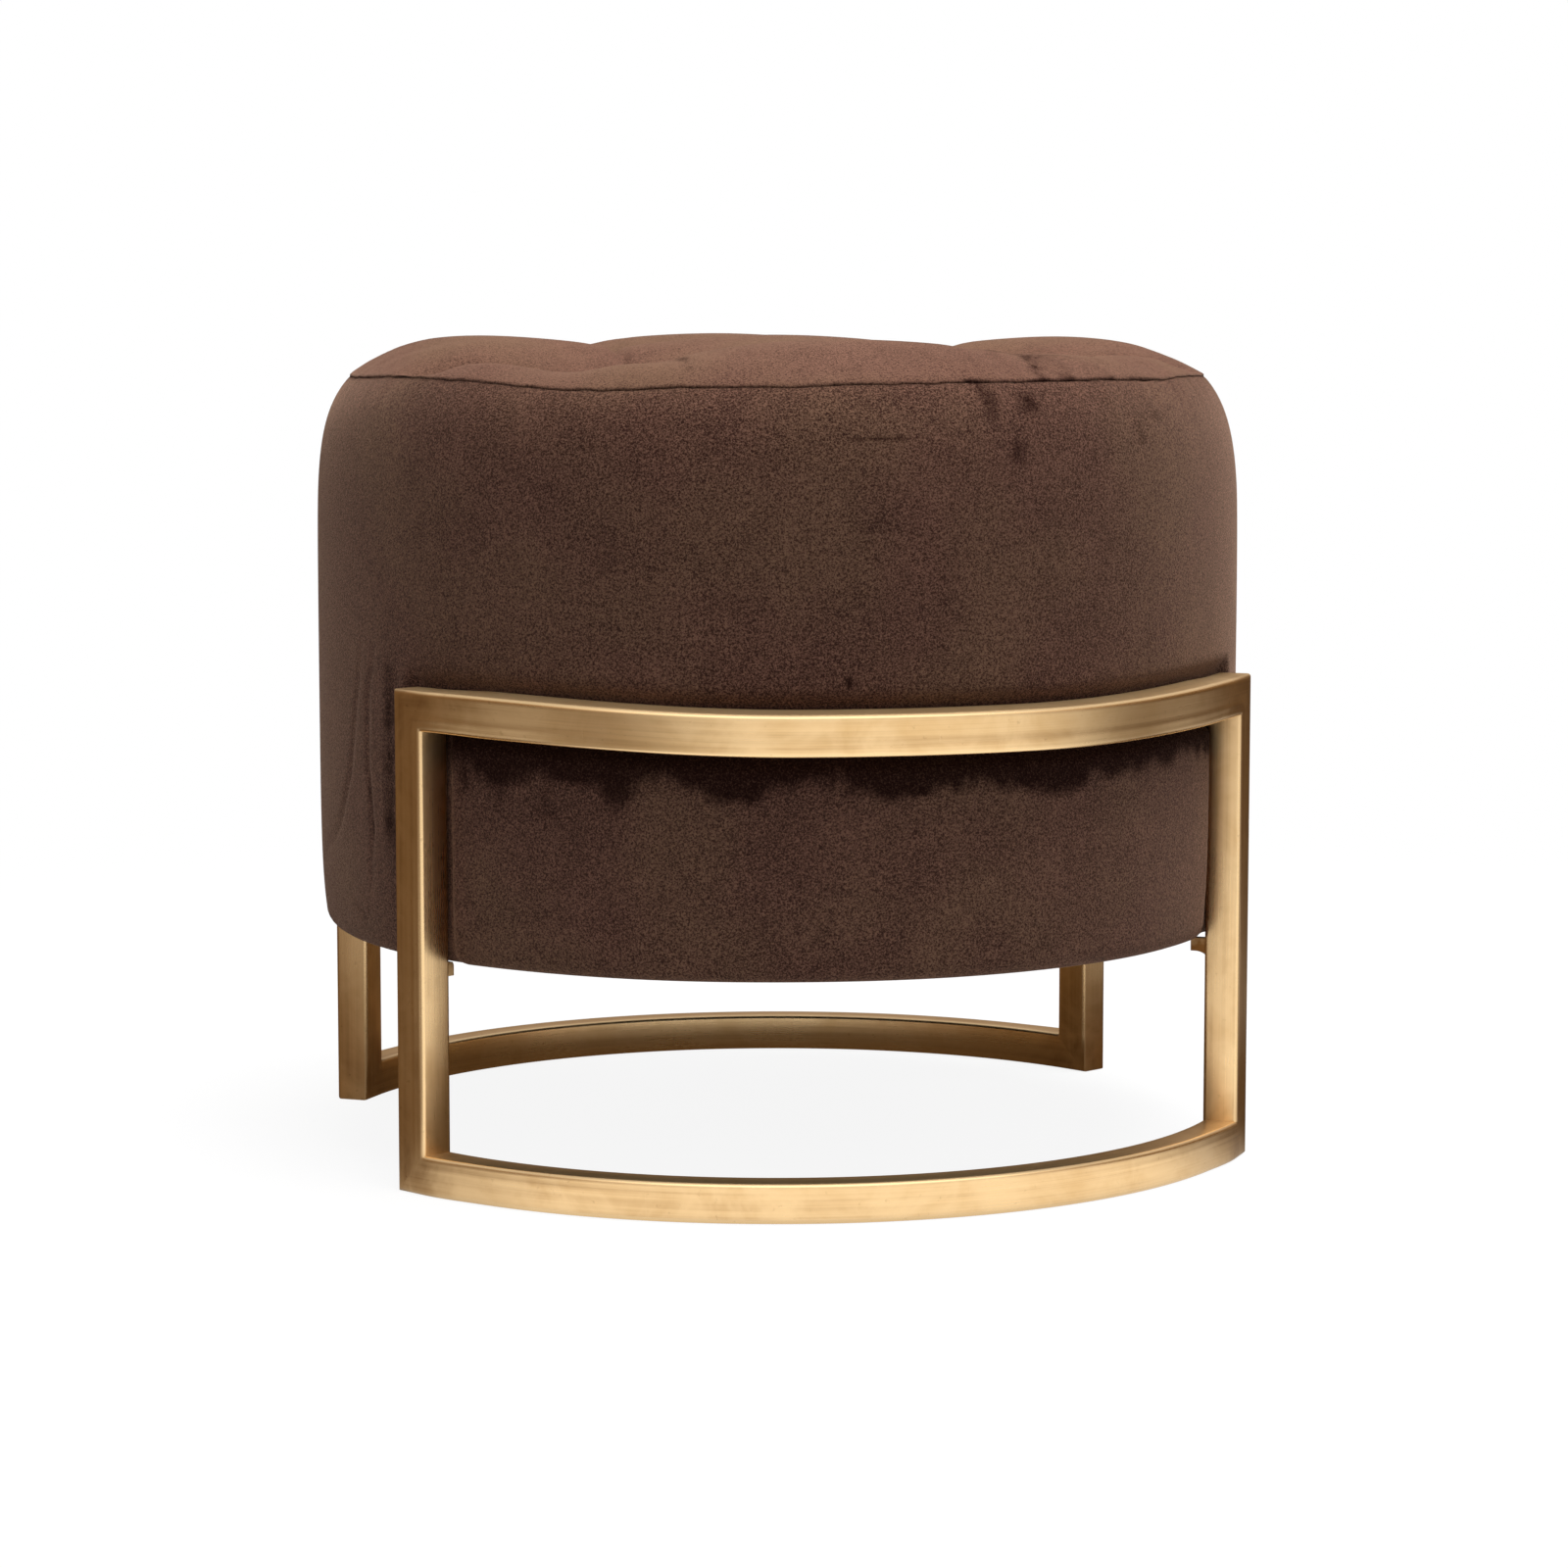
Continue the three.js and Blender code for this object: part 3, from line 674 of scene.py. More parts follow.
def around(radius: np.ndarray, azimuth: np.ndarray, height: np.ndarray) -> np.ndarray:
    """Points given by distance from the seat's axis, azimuth and height above the floor."""
    radius, azimuth, height = np.broadcast_arrays(radius, azimuth, height)
    return np.stack([radius * np.sin(azimuth), -radius * np.cos(azimuth), height], -1)


def spot(radius: float, azimuth: float) -> np.ndarray:
    """A place in plan, given by distance from the seat's axis and azimuth."""
    return around(radius, azimuth, 0)[:2]


def apart(points: np.ndarray, place: np.ndarray) -> np.ndarray:
    """How far places in plan are from one place."""
    return np.hypot(*(points - place).T).T


def smooth(share: np.ndarray) -> np.ndarray:
    """A smooth step from 0 to 1, over shares of 0 to 1."""
    held = np.clip(share, 0.0, 1.0)
    return held * held * (3 - 2 * held)


def either_way(azimuth: np.ndarray) -> np.ndarray:
    """Azimuths between half a turn to the left and half a turn to the right."""
    return np.arctan2(np.sin(azimuth), np.cos(azimuth))


def distance_to_line(points: np.ndarray, start: np.ndarray, end: np.ndarray) -> tuple:
    """How far places in plan are from a line.

    Args:
        points: the places, x and y last.
        start: one end of the line.
        end: its other end.

    Returns:
        The distance, the share of the way along, and the side, which is positive to the left.
    """
    run = end - start
    away = points - start
    share = np.clip((away @ run) / (run @ run), 0, 1)
    distance = apart(away, share[..., None] * run)
    side = (away[..., 1] * run[0] - away[..., 0] * run[1]) / math.hypot(*run)
    return distance, share, side


class Ripple(Enum):
    """Uneven waves round the seat: how many waves each part has, and the seed of the phases."""

    SEAM = ((37, 61, 89), 17)
    GROOVE = ((31, 53, 79, 127), 41)
    TOP_PUCKER = ((97, 131, 163), 5)
    BAND_SWELL = ((5, 8, 11), 3)
    BAND_PUCKER = ((103, 137, 171), 9)
    GATHERS = ((61, 83, 109), 21)
    LINING = ((7, 12, 19), 31)

    def at(self, azimuth: np.ndarray) -> np.ndarray:
        """The wave, which repeats after a full turn.

        Args:
            azimuth: angles round the seat.

        Returns:
            Values of about -1 to 1.
        """
        counts, seed = self.value
        random = np.random.default_rng(seed)
        total = np.zeros_like(azimuth, dtype=float)
        for count in counts:
            total += np.sin(count * azimuth + random.uniform(0, TAU)) * random.uniform(0.6, 1.0)
        return total / math.sqrt(len(counts))


# The upholstered drum

# Azimuth in degrees, and how far the seam rises there in millimetres
SEAM_RISES = (
    (-155, 1.5), (-130, 0.6), (-105, 1.4), (-84, 1.5), (-75, 2.6), (-66, 3.0), (-60, 2.1), (-54, 1.8),
    (-49, 0.5), (-43, -1.3), (-37, -2.0), (-33, -1.9), (-28, -0.9), (-23, -0.1), (-17, 0.1), (-10, -0.2),
    (-6, 0.8), (-2, 1.4), (4, 1.1), (9, 1.8), (20, 1.8), (32, 2.1), (37, 2.1), (43, 1.1), (48, 1.3),
    (53, 2.6), (60, 2.4), (80, 1.2), (105, 1.9), (130, 0.8), (155, 1.6), (180, 0.9),
)

# Places of the top made darker: middle and half sizes in millimetres, and strength
TOP_PATCHES = ((85, -175, 95, 50, 0.24), (-150, -90, 70, 60, 0.12))

# Drag creases in the band: azimuths in degrees with heights in metres, then depth and width in millimetres
DRAG_CREASES = (
    (((-71.7, 0.260), (-73.9, 0.222), (-75.7, 0.194), (-79.5, 0.168), (-82.7, 0.159), (-91.0, 0.145)), 1.0, 2.0),
    (((-68.4, 0.257), (-70.3, 0.231), (-70.5, 0.198), (-69.4, 0.167), (-70.4, 0.135)), 0.9, 2.0),
    (((-76.2, 0.131), (-72.3, 0.123), (-69.3, 0.131)), 0.5, 2.0),
    (((-112.0, 0.262), (-108.5, 0.205), (-109.5, 0.150)), 0.8, 2.4),
    (((111.0, 0.268), (107.5, 0.212), (103.0, 0.171), (97.0, 0.152)), 0.9, 2.2),
    (((70.5, 0.258), (72.5, 0.200), (71.0, 0.150)), 0.5, 2.6),
)

# Places of the band made darker, those just under the rail widening the painted shadow there: azimuth in degrees,
# height in metres, half sizes along
#  and up in millimetres, and strength
BAND_DARK_PATCHES = (
    (-34.6, 0.3535, 8, 1.6, 0.8), (-2.8, 0.3553, 30, 1.8, 0.6), (-12.0, 0.3490, 13, 7, 0.3),
    (16.8, 0.3510, 6, 10, 0.45), (13.6, 0.3680, 7, 13, 0.5), (19.3, 0.3700, 9, 8, 0.45),
    (36.4, 0.3550, 7, 9, 0.45), (41.0, 0.3640, 18, 4, 0.45), (28.0, 0.3450, 4, 16, 0.25),
    (37.4, 0.2610, 5, 12, 0.5), (-4.2, 0.2466, 2, 3.5, 0.9), (-51.5, 0.1950, 6, 9, 0.6),
    (-46.5, 0.1960, 9, 13, 0.6), (-39.8, 0.1890, 10, 10, 0.5), (-36.4, 0.2020, 9, 6, 0.5),
    (-31.3, 0.1960, 10, 11, 0.6), (-17.3, 0.1970, 14, 8, 0.6), (2.5, 0.1975, 12, 7, 0.5),
    (23.1, 0.1960, 16, 7, 0.5), (25.0, 0.2030, 8, 6, 0.5), (-65.0, 0.2000, 8, 70, 0.5),
    (150.0, 0.3300, 24, 16, 0.3), (-150.0, 0.2900, 16, 26, 0.3), (178.0, 0.1900, 34, 12, 0.35),
    (92.0, 0.3200, 18, 24, 0.25), (-96.0, 0.3400, 26, 14, 0.28),
)


@dataclass
class DrumForm:
    """The outside form of the drum, which its cover, band and seam all follow."""

    band_low: Vector = field(default_factory=lambda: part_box("velvet_band")[0])
    band_high: Vector = field(default_factory=lambda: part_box("velvet_band")[1])
    radius: float = 228.5 * MM
    seam_inset: float = 16 * MM
    shoulder_fade: float = 16 * MM
    belly_loss: float = 4 * MM
    belly_fade: float = 20 * MM
    bottom_round: float = 9 * MM
    thickness: float = 1.2 * MM
    hem: float = 30 * MM
    crown_rise: float = 26.1 * MM
    edge_fade: float = 30 * MM
    edge_lean: float = 6.5 * MM
    lean_toward: float = math.radians(75)
    tuft_radius: float = 115 * MM
    tuft_depth: float = 47 * MM
    tuft_spread: float = 33 * MM
    tuft_softness: float = 8 * MM
    pleat_depth: float = 5.4 * MM
    pleat_spread: float = 9 * MM
    fold_depths: tuple = ((5 * MM, 5 * MM), (16 * MM, 2 * MM), (2 * MM, 16 * MM), (5 * MM, 5 * MM))
    fold_turn: float = math.pi / 8
    fold_spread: float = 11 * MM
    fold_fade: float = 9 * MM
    valley_depths: tuple = (4.6 * MM, 11.3 * MM, 0.0, 10 * MM)
    valley_spread: float = 34 * MM
    press: float = 3.5 * MM
    press_spread: float = 7 * MM
    press_margin: float = 1.5 * MM
    press_gap: float = 0.5 * MM
    frame_reach: float = math.radians(60)
    tube_depth: float = 16 * MM
    seam_easing: tuple = (-3, -1.5, 0, 1.5, 3)
    seam_wobble: float = 0.22 * MM
    wave_fade: float = 22 * MM
    pucker_fade: float = 5 * MM
    belly: float = 1.1 * MM
    seam_groove: float = 0.5 * MM
    groove_width: float = 0.8 * MM
    rail_drop: float = 4.8 * MM
    right_loss: float = 0.85
    # Where the rail's drop starts, passes its lowest place and has ended, and how long each takes
    drop_start: tuple = (math.radians(54), math.radians(44))
    drop_lowest: tuple = (math.radians(18), math.radians(40))
    drop_end: tuple = (math.radians(100), math.radians(25))
    tufts: tuple = tuple(math.radians(turn) for turn in (-135, -45, 45, 135))

    @property
    def underside(self) -> float:
        """Height of the flat underside."""
        return self.band_low.z

    @property
    def seam_height(self) -> float:
        """Height of the seam between band and top."""
        return self.band_high.z

    @property
    def seam_radius(self) -> float:
        """Radius of the seam."""
        return self.radius - self.seam_inset

    @property
    def frame_inner(self) -> float:
        """Radius of the frames' inner faces."""
        return self.radius - self.press

    @property
    def rail(self) -> tuple[float, float]:
        """Lower and upper height of the frames' top rail."""
        low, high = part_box("front_top_rail")
        return low.z, high.z

    @property
    def tuft_places(self) -> list[np.ndarray]:
        """The tufts' places in plan."""
        return [spot(self.tuft_radius, azimuth) for azimuth in self.tufts]

    def seam_wave(self, azimuth: np.ndarray) -> np.ndarray:
        """How far the sewn seam wanders from its height.

        Args:
            azimuth: angles round the seat.

        Returns:
            The rise at each angle.
        """
        places, rises = np.array(SEAM_RISES).T
        turn = np.degrees(azimuth)
        eased = np.mean([np.interp(turn + step, places, rises, period=360) for step in self.seam_easing], 0)
        return eased * MM + self.seam_wobble * Ripple.SEAM.at(azimuth)

    def sewn(self, azimuth: np.ndarray, below: np.ndarray, depth: float, ripple: Ripple) -> np.ndarray:
        """How far the cloth stands up at the seam's puckers and down in its uneven groove.

        Args:
            azimuth: angles round the seat.
            below: distances from the seam, less than 0.
            depth: height of the puckers.
            ripple: their wave.

        Returns:
            The change at each place.
        """
        near_seam = np.exp(below / self.pucker_fade)
        groove = self.seam_groove * (0.85 + 0.3 * Ripple.GROOVE.at(azimuth)) * np.exp(below / self.groove_width)
        return depth * ripple.at(azimuth) * near_seam * (1 - near_seam) * 4 - groove

    def rail_sag(self, azimuth: np.ndarray) -> np.ndarray:
        """How far the front frame's bent top rail hangs below its left end.

        Args:
            azimuth: angles round the seat.

        Returns:
            The drop at each angle, nothing at the back.
        """
        turn = either_way(azimuth)
        (start, start_run), (lowest, lowest_run), (end, end_run) = self.drop_start, self.drop_lowest, self.drop_end
        to_right = 1 - self.right_loss * smooth((turn - lowest) / lowest_run)
        return self.rail_drop * smooth((turn + start) / start_run) * to_right * smooth((end - turn) / end_run)

    def side_radius(self, height: np.ndarray) -> np.ndarray:
        """The free outline of the drum's side.

        Args:
            height: heights above the floor.

        Returns:
            The radius at each height.
        """
        shoulder = self.seam_inset * np.exp((height - self.seam_height) / self.shoulder_fade)
        base = self.belly_loss * np.exp((self.underside - height) / self.belly_fade)
        return self.radius - shoulder - base

    def press_share(self, azimuth: np.ndarray, height: np.ndarray) -> np.ndarray:
        """How much of the frames' press a place on the side takes.

        Args:
            azimuth: angles round the seat.
            height: heights above the floor.

        Returns:
            1 under the tubes, falling to 0 beside them.
        """
        height = height + self.rail_sag(azimuth)
        turn = np.abs(either_way(azimuth))
        turn = np.minimum(turn, math.pi - turn)
        rail_low, rail_high = self.rail
        leg_start = self.frame_reach - (rail_high - rail_low) / (self.frame_inner + self.tube_depth)
        beyond = np.maximum(turn - self.frame_reach, 0) * self.frame_inner
        above = np.maximum(height - rail_high, 0)
        to_rail = np.hypot(beyond, np.maximum(rail_low - height, 0) + above)
        beside = np.maximum(np.maximum(leg_start - turn, turn - self.frame_reach), 0) * self.frame_inner
        to_leg = np.hypot(beside, above)
        return smooth(1 - (np.minimum(to_rail, to_leg) - self.press_margin) / self.press_spread)

    def edge_rise(self, points: np.ndarray) -> np.ndarray:
        """How much of the top's height is reached, which takes further in from the rim on the right.

        Args:
            points: places in plan, x and y last.

        Returns:
            0 at the rim, going towards 1 inside.
        """
        turn = np.arctan2(points[..., 0], -points[..., 1]) - self.lean_toward
        spread = self.edge_fade + self.edge_lean * (0.5 + 0.5 * np.cos(turn))
        return 1 - np.exp((apart(points, np.zeros(2)) - self.seam_radius) / spread)

    def top_rise(self, points: np.ndarray) -> np.ndarray:
        """Height of the tufted top above its rim, before it is pleated.

        Args:
            points: places in plan, x and y last.

        Returns:
            The rise at each place.
        """
        radius = apart(points, np.zeros(2))
        pull = np.zeros_like(radius)
        for azimuth, tuft, valley_depth in zip(self.tufts, self.tuft_places, self.valley_depths):
            away = np.hypot(apart(points, tuft), self.tuft_softness) - self.tuft_softness
            pull += self.tuft_depth * np.exp(-away / self.tuft_spread)
            beyond = smooth((radius - self.tuft_radius) / self.tuft_spread)
            end = spot(self.seam_radius, azimuth)
            near = distance_to_line(points, tuft, end)[0] / self.valley_spread
            pull += valley_depth * beyond * np.exp(-near ** 2)
        return self.edge_rise(points) * (self.crown_rise - pull)

    def creased(self, points: np.ndarray) -> np.ndarray:
        """How far the pleats pull the top down.

        Args:
            points: places in plan, x and y last.

        Returns:
            The depth at each place.
        """
        radius = apart(points, np.zeros(2))
        edge = self.edge_rise(points)
        fade = 1 - np.exp((radius - self.seam_radius) / self.fold_fade)
        total = np.zeros_like(radius)
        for start, end, depth, at_rim in self.pleats():
            spread = self.fold_spread if at_rim else self.pleat_spread
            near = np.exp(-distance_to_line(points, start, end)[0] / spread)
            total += (fade if at_rim else edge) * depth * near
        return total

    def pleats(self) -> list[tuple[np.ndarray, np.ndarray, float, bool]]:
        """The pleats from each tuft to the next, and to two places on the seam.

        Returns:
            Both ends of each in plan, its depth and whether it runs to the seam.
        """
        lines = []
        for azimuth, tuft, depths in zip(self.tufts, self.tuft_places, self.fold_depths):
            lines.append((tuft, spot(self.tuft_radius, azimuth + math.pi / 2), self.pleat_depth, False))
            for aside, depth in zip((-self.fold_turn, self.fold_turn), depths):
                lines.append((tuft, spot(self.seam_radius, azimuth + aside), depth, True))
        return lines


@dataclass
class VelvetTop:
    """The tufted cover of the seat."""

    form: DrumForm
    finish: bpy.types.Material
    rows: int = 96
    columns: int = 360
    rim_crowding: float = 0.25
    drop: float = 0.9 * MM
    fold_step: float = 1.0 * MM
    fold_lip: float = 1.5 * MM
    fold_spread: float = 6 * MM
    pucker: float = 0.1 * MM
    voxel: float = 5 * MM
    pad_depth: float = 30 * MM
    last_frame: int = 20
    most_move: float = 4 * MM
    kept_share: float = 0.44
    over_knot: float = 2.4 * MM
    knot_softness: float = 2 * MM
    # Painted shade at the tufts, the pleats and the seam: how dark it is and how far it reaches
    tuft_shade: tuple = (0.75, 16 * MM)
    pleat_shade: tuple = (0.42, 3.2 * MM)
    seam_shade: tuple = (0.25, 0.8 * MM)
    cloth: dict = field(default_factory=lambda: {
        "quality": 6, "mass": 0.3, "tension_stiffness": 12, "compression_stiffness": 12,
        "shear_stiffness": 6, "bending_stiffness": 0.6, "shrink_min": -0.02,
        "vertex_group_mass": "held", "use_pressure": True, "uniform_pressure_force": 4.0,
    })

    def surface(self) -> np.ndarray:
        """The upper surface before it is stuffed and folded, with its rows closer together at the rim.

        Returns:
            Rows of points.
        """
        form = self.form
        share = np.linspace(0, 1, self.rows)
        radii = form.seam_radius * (share * (1 + self.rim_crowding) - share ** 3 * self.rim_crowding)
        azimuths = np.arange(self.columns) / self.columns * TAU
        points = around(radii[:, None], azimuths[None, :], 0.0)
        wave = form.seam_wave(azimuths) * np.exp((radii[:, None] - form.seam_radius) / form.wave_fade)
        points[..., 2] = form.seam_height + form.thickness + form.top_rise(points[..., :2]) + wave
        return points

    def stuffing(self, points: np.ndarray) -> np.ndarray:
        """Swells a remeshed pad of the same form as cloth, and reads off how far each point moves.

        Args:
            points: the upper surface, as rows of points.

        Returns:
            The share of each point's movement that the pad's cover keeps.
        """
        form = self.form
        low = points[::-1].copy()
        low[..., 2] = form.seam_height - self.pad_depth
        pad = skin("stuffing_pad", np.concatenate([points, low]), True)
        remesh = pad.modifiers.new("voxels", "REMESH")
        remesh.mode = "VOXEL"
        remesh.voxel_size = self.voxel
        pad = replace_by_result(pad)
        rest = mesh_points(pad.data)
        held = pad.vertex_groups.new(name="held")
        radius = np.hypot(rest[:, 0], rest[:, 1])
        fixed = (radius > form.seam_radius - self.voxel) | (rest[:, 2] < form.seam_height - self.voxel)
        for tuft in form.tuft_places:
            fixed |= apart(rest[:, :2], tuft) < form.tuft_softness
        held.add(np.flatnonzero(fixed).tolist(), 1.0, "REPLACE")
        moved = self.swell(pad) - rest
        bpy.data.objects.remove(pad)
        return carried(points, rest, moved, self.most_move) * self.kept_share

    def swell(self, pad: bpy.types.Object) -> np.ndarray:
        """Runs the cloth on the pad.

        Args:
            pad: the remeshed pad with its held points.

        Returns:
            The points at the last frame.
        """
        cloth = pad.modifiers.new("cloth", "CLOTH")
        for name, value in self.cloth.items():
            setattr(cloth.settings, name, value)
        cloth.settings.effector_weights.gravity = 0
        cloth.collision_settings.use_collision = False
        cloth.point_cache.frame_end = self.last_frame
        scene = bpy.context.scene
        for number in range(1, self.last_frame + 1):
            scene.frame_set(number)
        points = mesh_points(pad.evaluated_get(bpy.context.evaluated_depsgraph_get()).data)
        pad.modifiers.remove(cloth)
        scene.frame_set(1)
        return points

    def folded(self, points: np.ndarray) -> np.ndarray:
        """Folds the pleats into the cloth, each with one lip over the other, sinks the seam, and keeps
        the cloth over the ties' knots.

        Args:
            points: the stuffed surface.

        Returns:
            The surface with its pleats.
        """
        form = self.form
        made = points.copy()
        plan = made[..., :2]
        below = apart(plan, np.zeros(2)) - form.seam_radius
        edge = 1 - np.exp(below / form.edge_fade)
        made[..., 2] -= form.creased(plan)
        for start, end, _, _ in form.pleats():
            distance, share, side = distance_to_line(plan, start, end)
            lip = np.tanh(side / self.fold_lip) * np.exp(-distance / self.fold_spread)
            made[..., 2] += edge * self.fold_step * lip * np.sin(share * math.pi)
        azimuth = np.arctan2(plan[..., 0], -plan[..., 1])
        made[..., 2] += form.sewn(azimuth, below, self.pucker, Ripple.TOP_PUCKER)
        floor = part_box("tuft_tie_1")[1].z + self.over_knot
        above = np.logaddexp(0, (made[..., 2] - floor) / self.knot_softness)
        made[..., 2] = floor + self.knot_softness * above
        return made

    def nap_and_painted_shade(self, points: np.ndarray) -> np.ndarray:
        """Painted shade at each point, most in the folds and tufts and less at the seam, with darker patches.

        Args:
            points: the finished surface.

        Returns:
            One number for each point, 0 to 1.
        """
        plan = points[..., :2]
        dark = np.zeros(plan.shape[:-1])
        # Painted shade round the tufts, along the pleats and at the seam
        strength, reach = self.tuft_shade
        for tuft in self.form.tuft_places:
            dark += strength * np.exp(-apart(plan, tuft) / reach)
        strength, reach = self.pleat_shade
        for start, end, _, _ in self.form.pleats():
            dark += strength * np.exp(-distance_to_line(plan, start, end)[0] / reach)
        strength, reach = self.seam_shade
        dark += strength * np.exp((apart(plan, np.zeros(2)) - self.form.seam_radius) / reach)
        for *sizes, strength in TOP_PATCHES:
            middle, half = np.array(sizes).reshape(2, 2) * MM
            dark += strength * np.exp(-(((plan - middle) / half) ** 2).sum(-1))
        return np.clip(dark, 0, 1)

    def build(self) -> np.ndarray:
        """Builds the cover.

        Returns:
            Its upper surface, as rows of points.
        """
        upper = self.surface()
        upper = upper + self.stuffing(upper)
        upper = self.folded(upper)
        lower = upper[::-1].copy()
        lower[..., 2] -= self.drop
        rows = np.concatenate([upper, lower])
        made = skin("tufted_cover", rows, True)
        dark = self.nap_and_painted_shade(rows)
        set_attribute(made, "nap_and_painted_shade", np.concatenate([dark[0, :1], dark[1:-1].ravel(), dark[-1, :1]]))
        # Painted light: marks the whole top cover to be made paler
        set_attribute(made, "painted_top_light", np.ones(len(made.data.vertices)))
        finish_piece(made, self.finish, Slot.VELVET, "velvet_top")
        return upper


def carried(points: np.ndarray, rest: np.ndarray, moved: np.ndarray, most: float) -> np.ndarray:
    """Carries the movement of one mesh over to the points of another.

    Args:
        points: the points that take the movement.
        rest: the first mesh's points before it moved.
        moved: their movement.
        most: the largest movement kept.

    Returns:
        The movement of each point, from its 16 nearest, of which closer ones weigh more.
    """
    neighbours, softness = 16, 5 * MM
    length = np.linalg.norm(moved, axis=1, keepdims=True)
    moved = moved * np.minimum(1.0, most / np.maximum(length, 1e-9))
    tree = kdtree.KDTree(len(rest))
    for index, place in enumerate(rest):
        tree.insert(place, index)
    tree.balance()
    flat = points.reshape(-1, 3)
    result = np.zeros_like(flat)
    for index, place in enumerate(flat):
        near = tree.find_n(place, neighbours)
        weights = np.array([1.0 / (distance + softness) ** 2 for _, _, distance in near])
        result[index] = weights @ moved[[number for _, number, _ in near]] / weights.sum()
    return result.reshape(points.shape)


@dataclass
class VelvetBand:
    """The upholstered side of the drum, turned under at the foot."""

    form: DrumForm
    finish: bpy.types.Material
    columns: int = 800
    row_step: float = 3.0 * MM
    first_rows: tuple = (0, 0.6 * MM, 1.3 * MM, 2.2 * MM, 3.4 * MM, 5.0 * MM)
    foot_rows: int = 7
    hem_rows: int = 10
    swell: float = 0.5 * MM
    swell_fade: float = 60 * MM
    pucker: float = 0.08 * MM
    gather: float = 0.45 * MM
    most_gather: float = 1 * MM
    hem_gap: float = 0.9 * MM
    lining_gap: float = 0.6 * MM
    lining_step: int = 8
    # Painted shade at the seam, painted shadow under the rail, and painted shade in the creases and at the foot: how
    # dark each is and how far it reaches
    seam_shade: tuple = (0.25, 0.5 * MM)
    rail_shadow: float = 1.1
    rail_reach: tuple = (27 * MM, 24 * MM, 8 * MM)
    rail_end: float = 0.1
    crease_shade: float = 0.42
    foot_shade: float = 0.1

    def heights(self) -> np.ndarray:
        """Heights of the rows from the seam down to the bottom round.

        Returns:
            The heights, closer together near the seam.
        """
        near_seam = self.form.seam_height - np.array(self.first_rows)
        foot = self.form.underside + self.form.bottom_round
        count = int((near_seam[-1] - foot) / self.row_step)
        return np.concatenate([near_seam, np.linspace(near_seam[-1], foot, count + 1)[1:]])

    def creases(self, azimuth: np.ndarray, height: np.ndarray) -> list[tuple[np.ndarray, float]]:
        """How deep in each drag crease the places of the side lie.

        Args:
            azimuth: angles round the seat.
            height: heights above the floor.

        Returns:
            For each crease, 1 in its line, falling to 0 beside it and at its ends, and its depth.
        """
        radius = self.form.radius
        places = np.stack([either_way(azimuth) * radius, height], -1)
        shares = []
        for stations, depth, width in DRAG_CREASES:
            route = [np.array([math.radians(turn) * radius, high]) for turn, high in stations]
            total = np.zeros(places.shape[:-1])
            for number, (start, end) in enumerate(zip(route, route[1:])):
                distance, share, _ = distance_to_line(places, start, end)
                along = np.clip((number + share) / (len(route) - 1), 0, 1)
                total = np.maximum(total, np.exp(-(distance / (width * MM)) ** 2) * np.sin(along * math.pi) ** 0.5)
            shares.append((total, depth * MM))
        return shares

    def outside(self, azimuth: np.ndarray, height: np.ndarray) -> np.ndarray:
        """The band's outer radius.

        Args:
            azimuth: angles round the seat.
            height: heights above the floor.

        Returns:
            The radius at each place.
        """
        form = self.form
        swell = form.belly + self.swell * Ripple.BAND_SWELL.at(azimuth)
        free = form.side_radius(height) + swell * smooth((form.seam_height - height) / self.swell_fade)
        press = form.press_share(azimuth, height)
        held = np.minimum(free, form.frame_inner - form.press_gap)
        radius = free + (held - free) * press
        radius = radius + form.sewn(azimuth, height - form.seam_height, self.pucker, Ripple.BAND_PUCKER)
        for share, depth in self.creases(azimuth, height):
            radius = radius - depth * share * (1 - press)
        return radius

    def nap_and_painted_shade(self, azimuth: np.ndarray, height: np.ndarray) -> np.ndarray:
        """Painted shade and painted shadow at each place of the side, with darker patches.

        Args:
            azimuth: angles round the seat.
            height: heights above the floor.

        Returns:
            One number for each place, 0 to 1.
        """
        form = self.form
        turn = either_way(azimuth)
        # Painted shade in the seam's groove
        strength, reach = self.seam_shade
        dark = strength * np.exp((height - form.seam_height) / reach)
        # Painted shadow under the rail, fading out at the frame's ends
        over_rail = height - (form.rail[0] - form.rail_sag(azimuth))
        start, run, behind = self.rail_reach
        under = smooth((over_rail + start) / run) * smooth((behind - over_rail) / behind)
        to_end = form.frame_reach - np.minimum(np.abs(turn), math.pi - np.abs(turn))
        dark = dark + self.rail_shadow * under * smooth(to_end / self.rail_end)
        # Painted shade in the drag creases
        for share, _ in self.creases(azimuth, height):
            dark = dark + self.crease_shade * share
        # Darker patches, those just under the rail widening its painted shadow
        for middle, level, half_along, half_up, strength in BAND_DARK_PATCHES:
            along = (turn - math.radians(middle)) * form.radius / (half_along * MM)
            dark = dark + strength * np.exp(-along ** 2 - ((height - level) / (half_up * MM)) ** 2)
        return np.clip(dark, 0, 1)

    def build(self) -> None:
        """Builds the band: its side, its foot, the gathered hem underneath and the cloth's inner face."""
        form = self.form
        azimuth = np.arange(self.columns) / self.columns * TAU
        side = self.heights()
        wave = form.seam_wave(azimuth)
        rows, dark = [], []
        for high in side:
            level = np.full_like(azimuth, high)
            raised = high + wave * math.exp((high - form.seam_height) / form.wave_fade)
            rows.append(around(self.outside(azimuth, level), azimuth, raised))
            dark.append(self.nap_and_painted_shade(azimuth, level))
        foot = self.outside(azimuth, np.full_like(azimuth, side[-1]))
        for angle in np.radians(np.linspace(90, 0, self.foot_rows + 1))[1:]:
            reach = foot - form.bottom_round * (1 - math.sin(angle))
            rows.append(around(reach, azimuth, form.underside + form.bottom_round * (1 - math.cos(angle))))
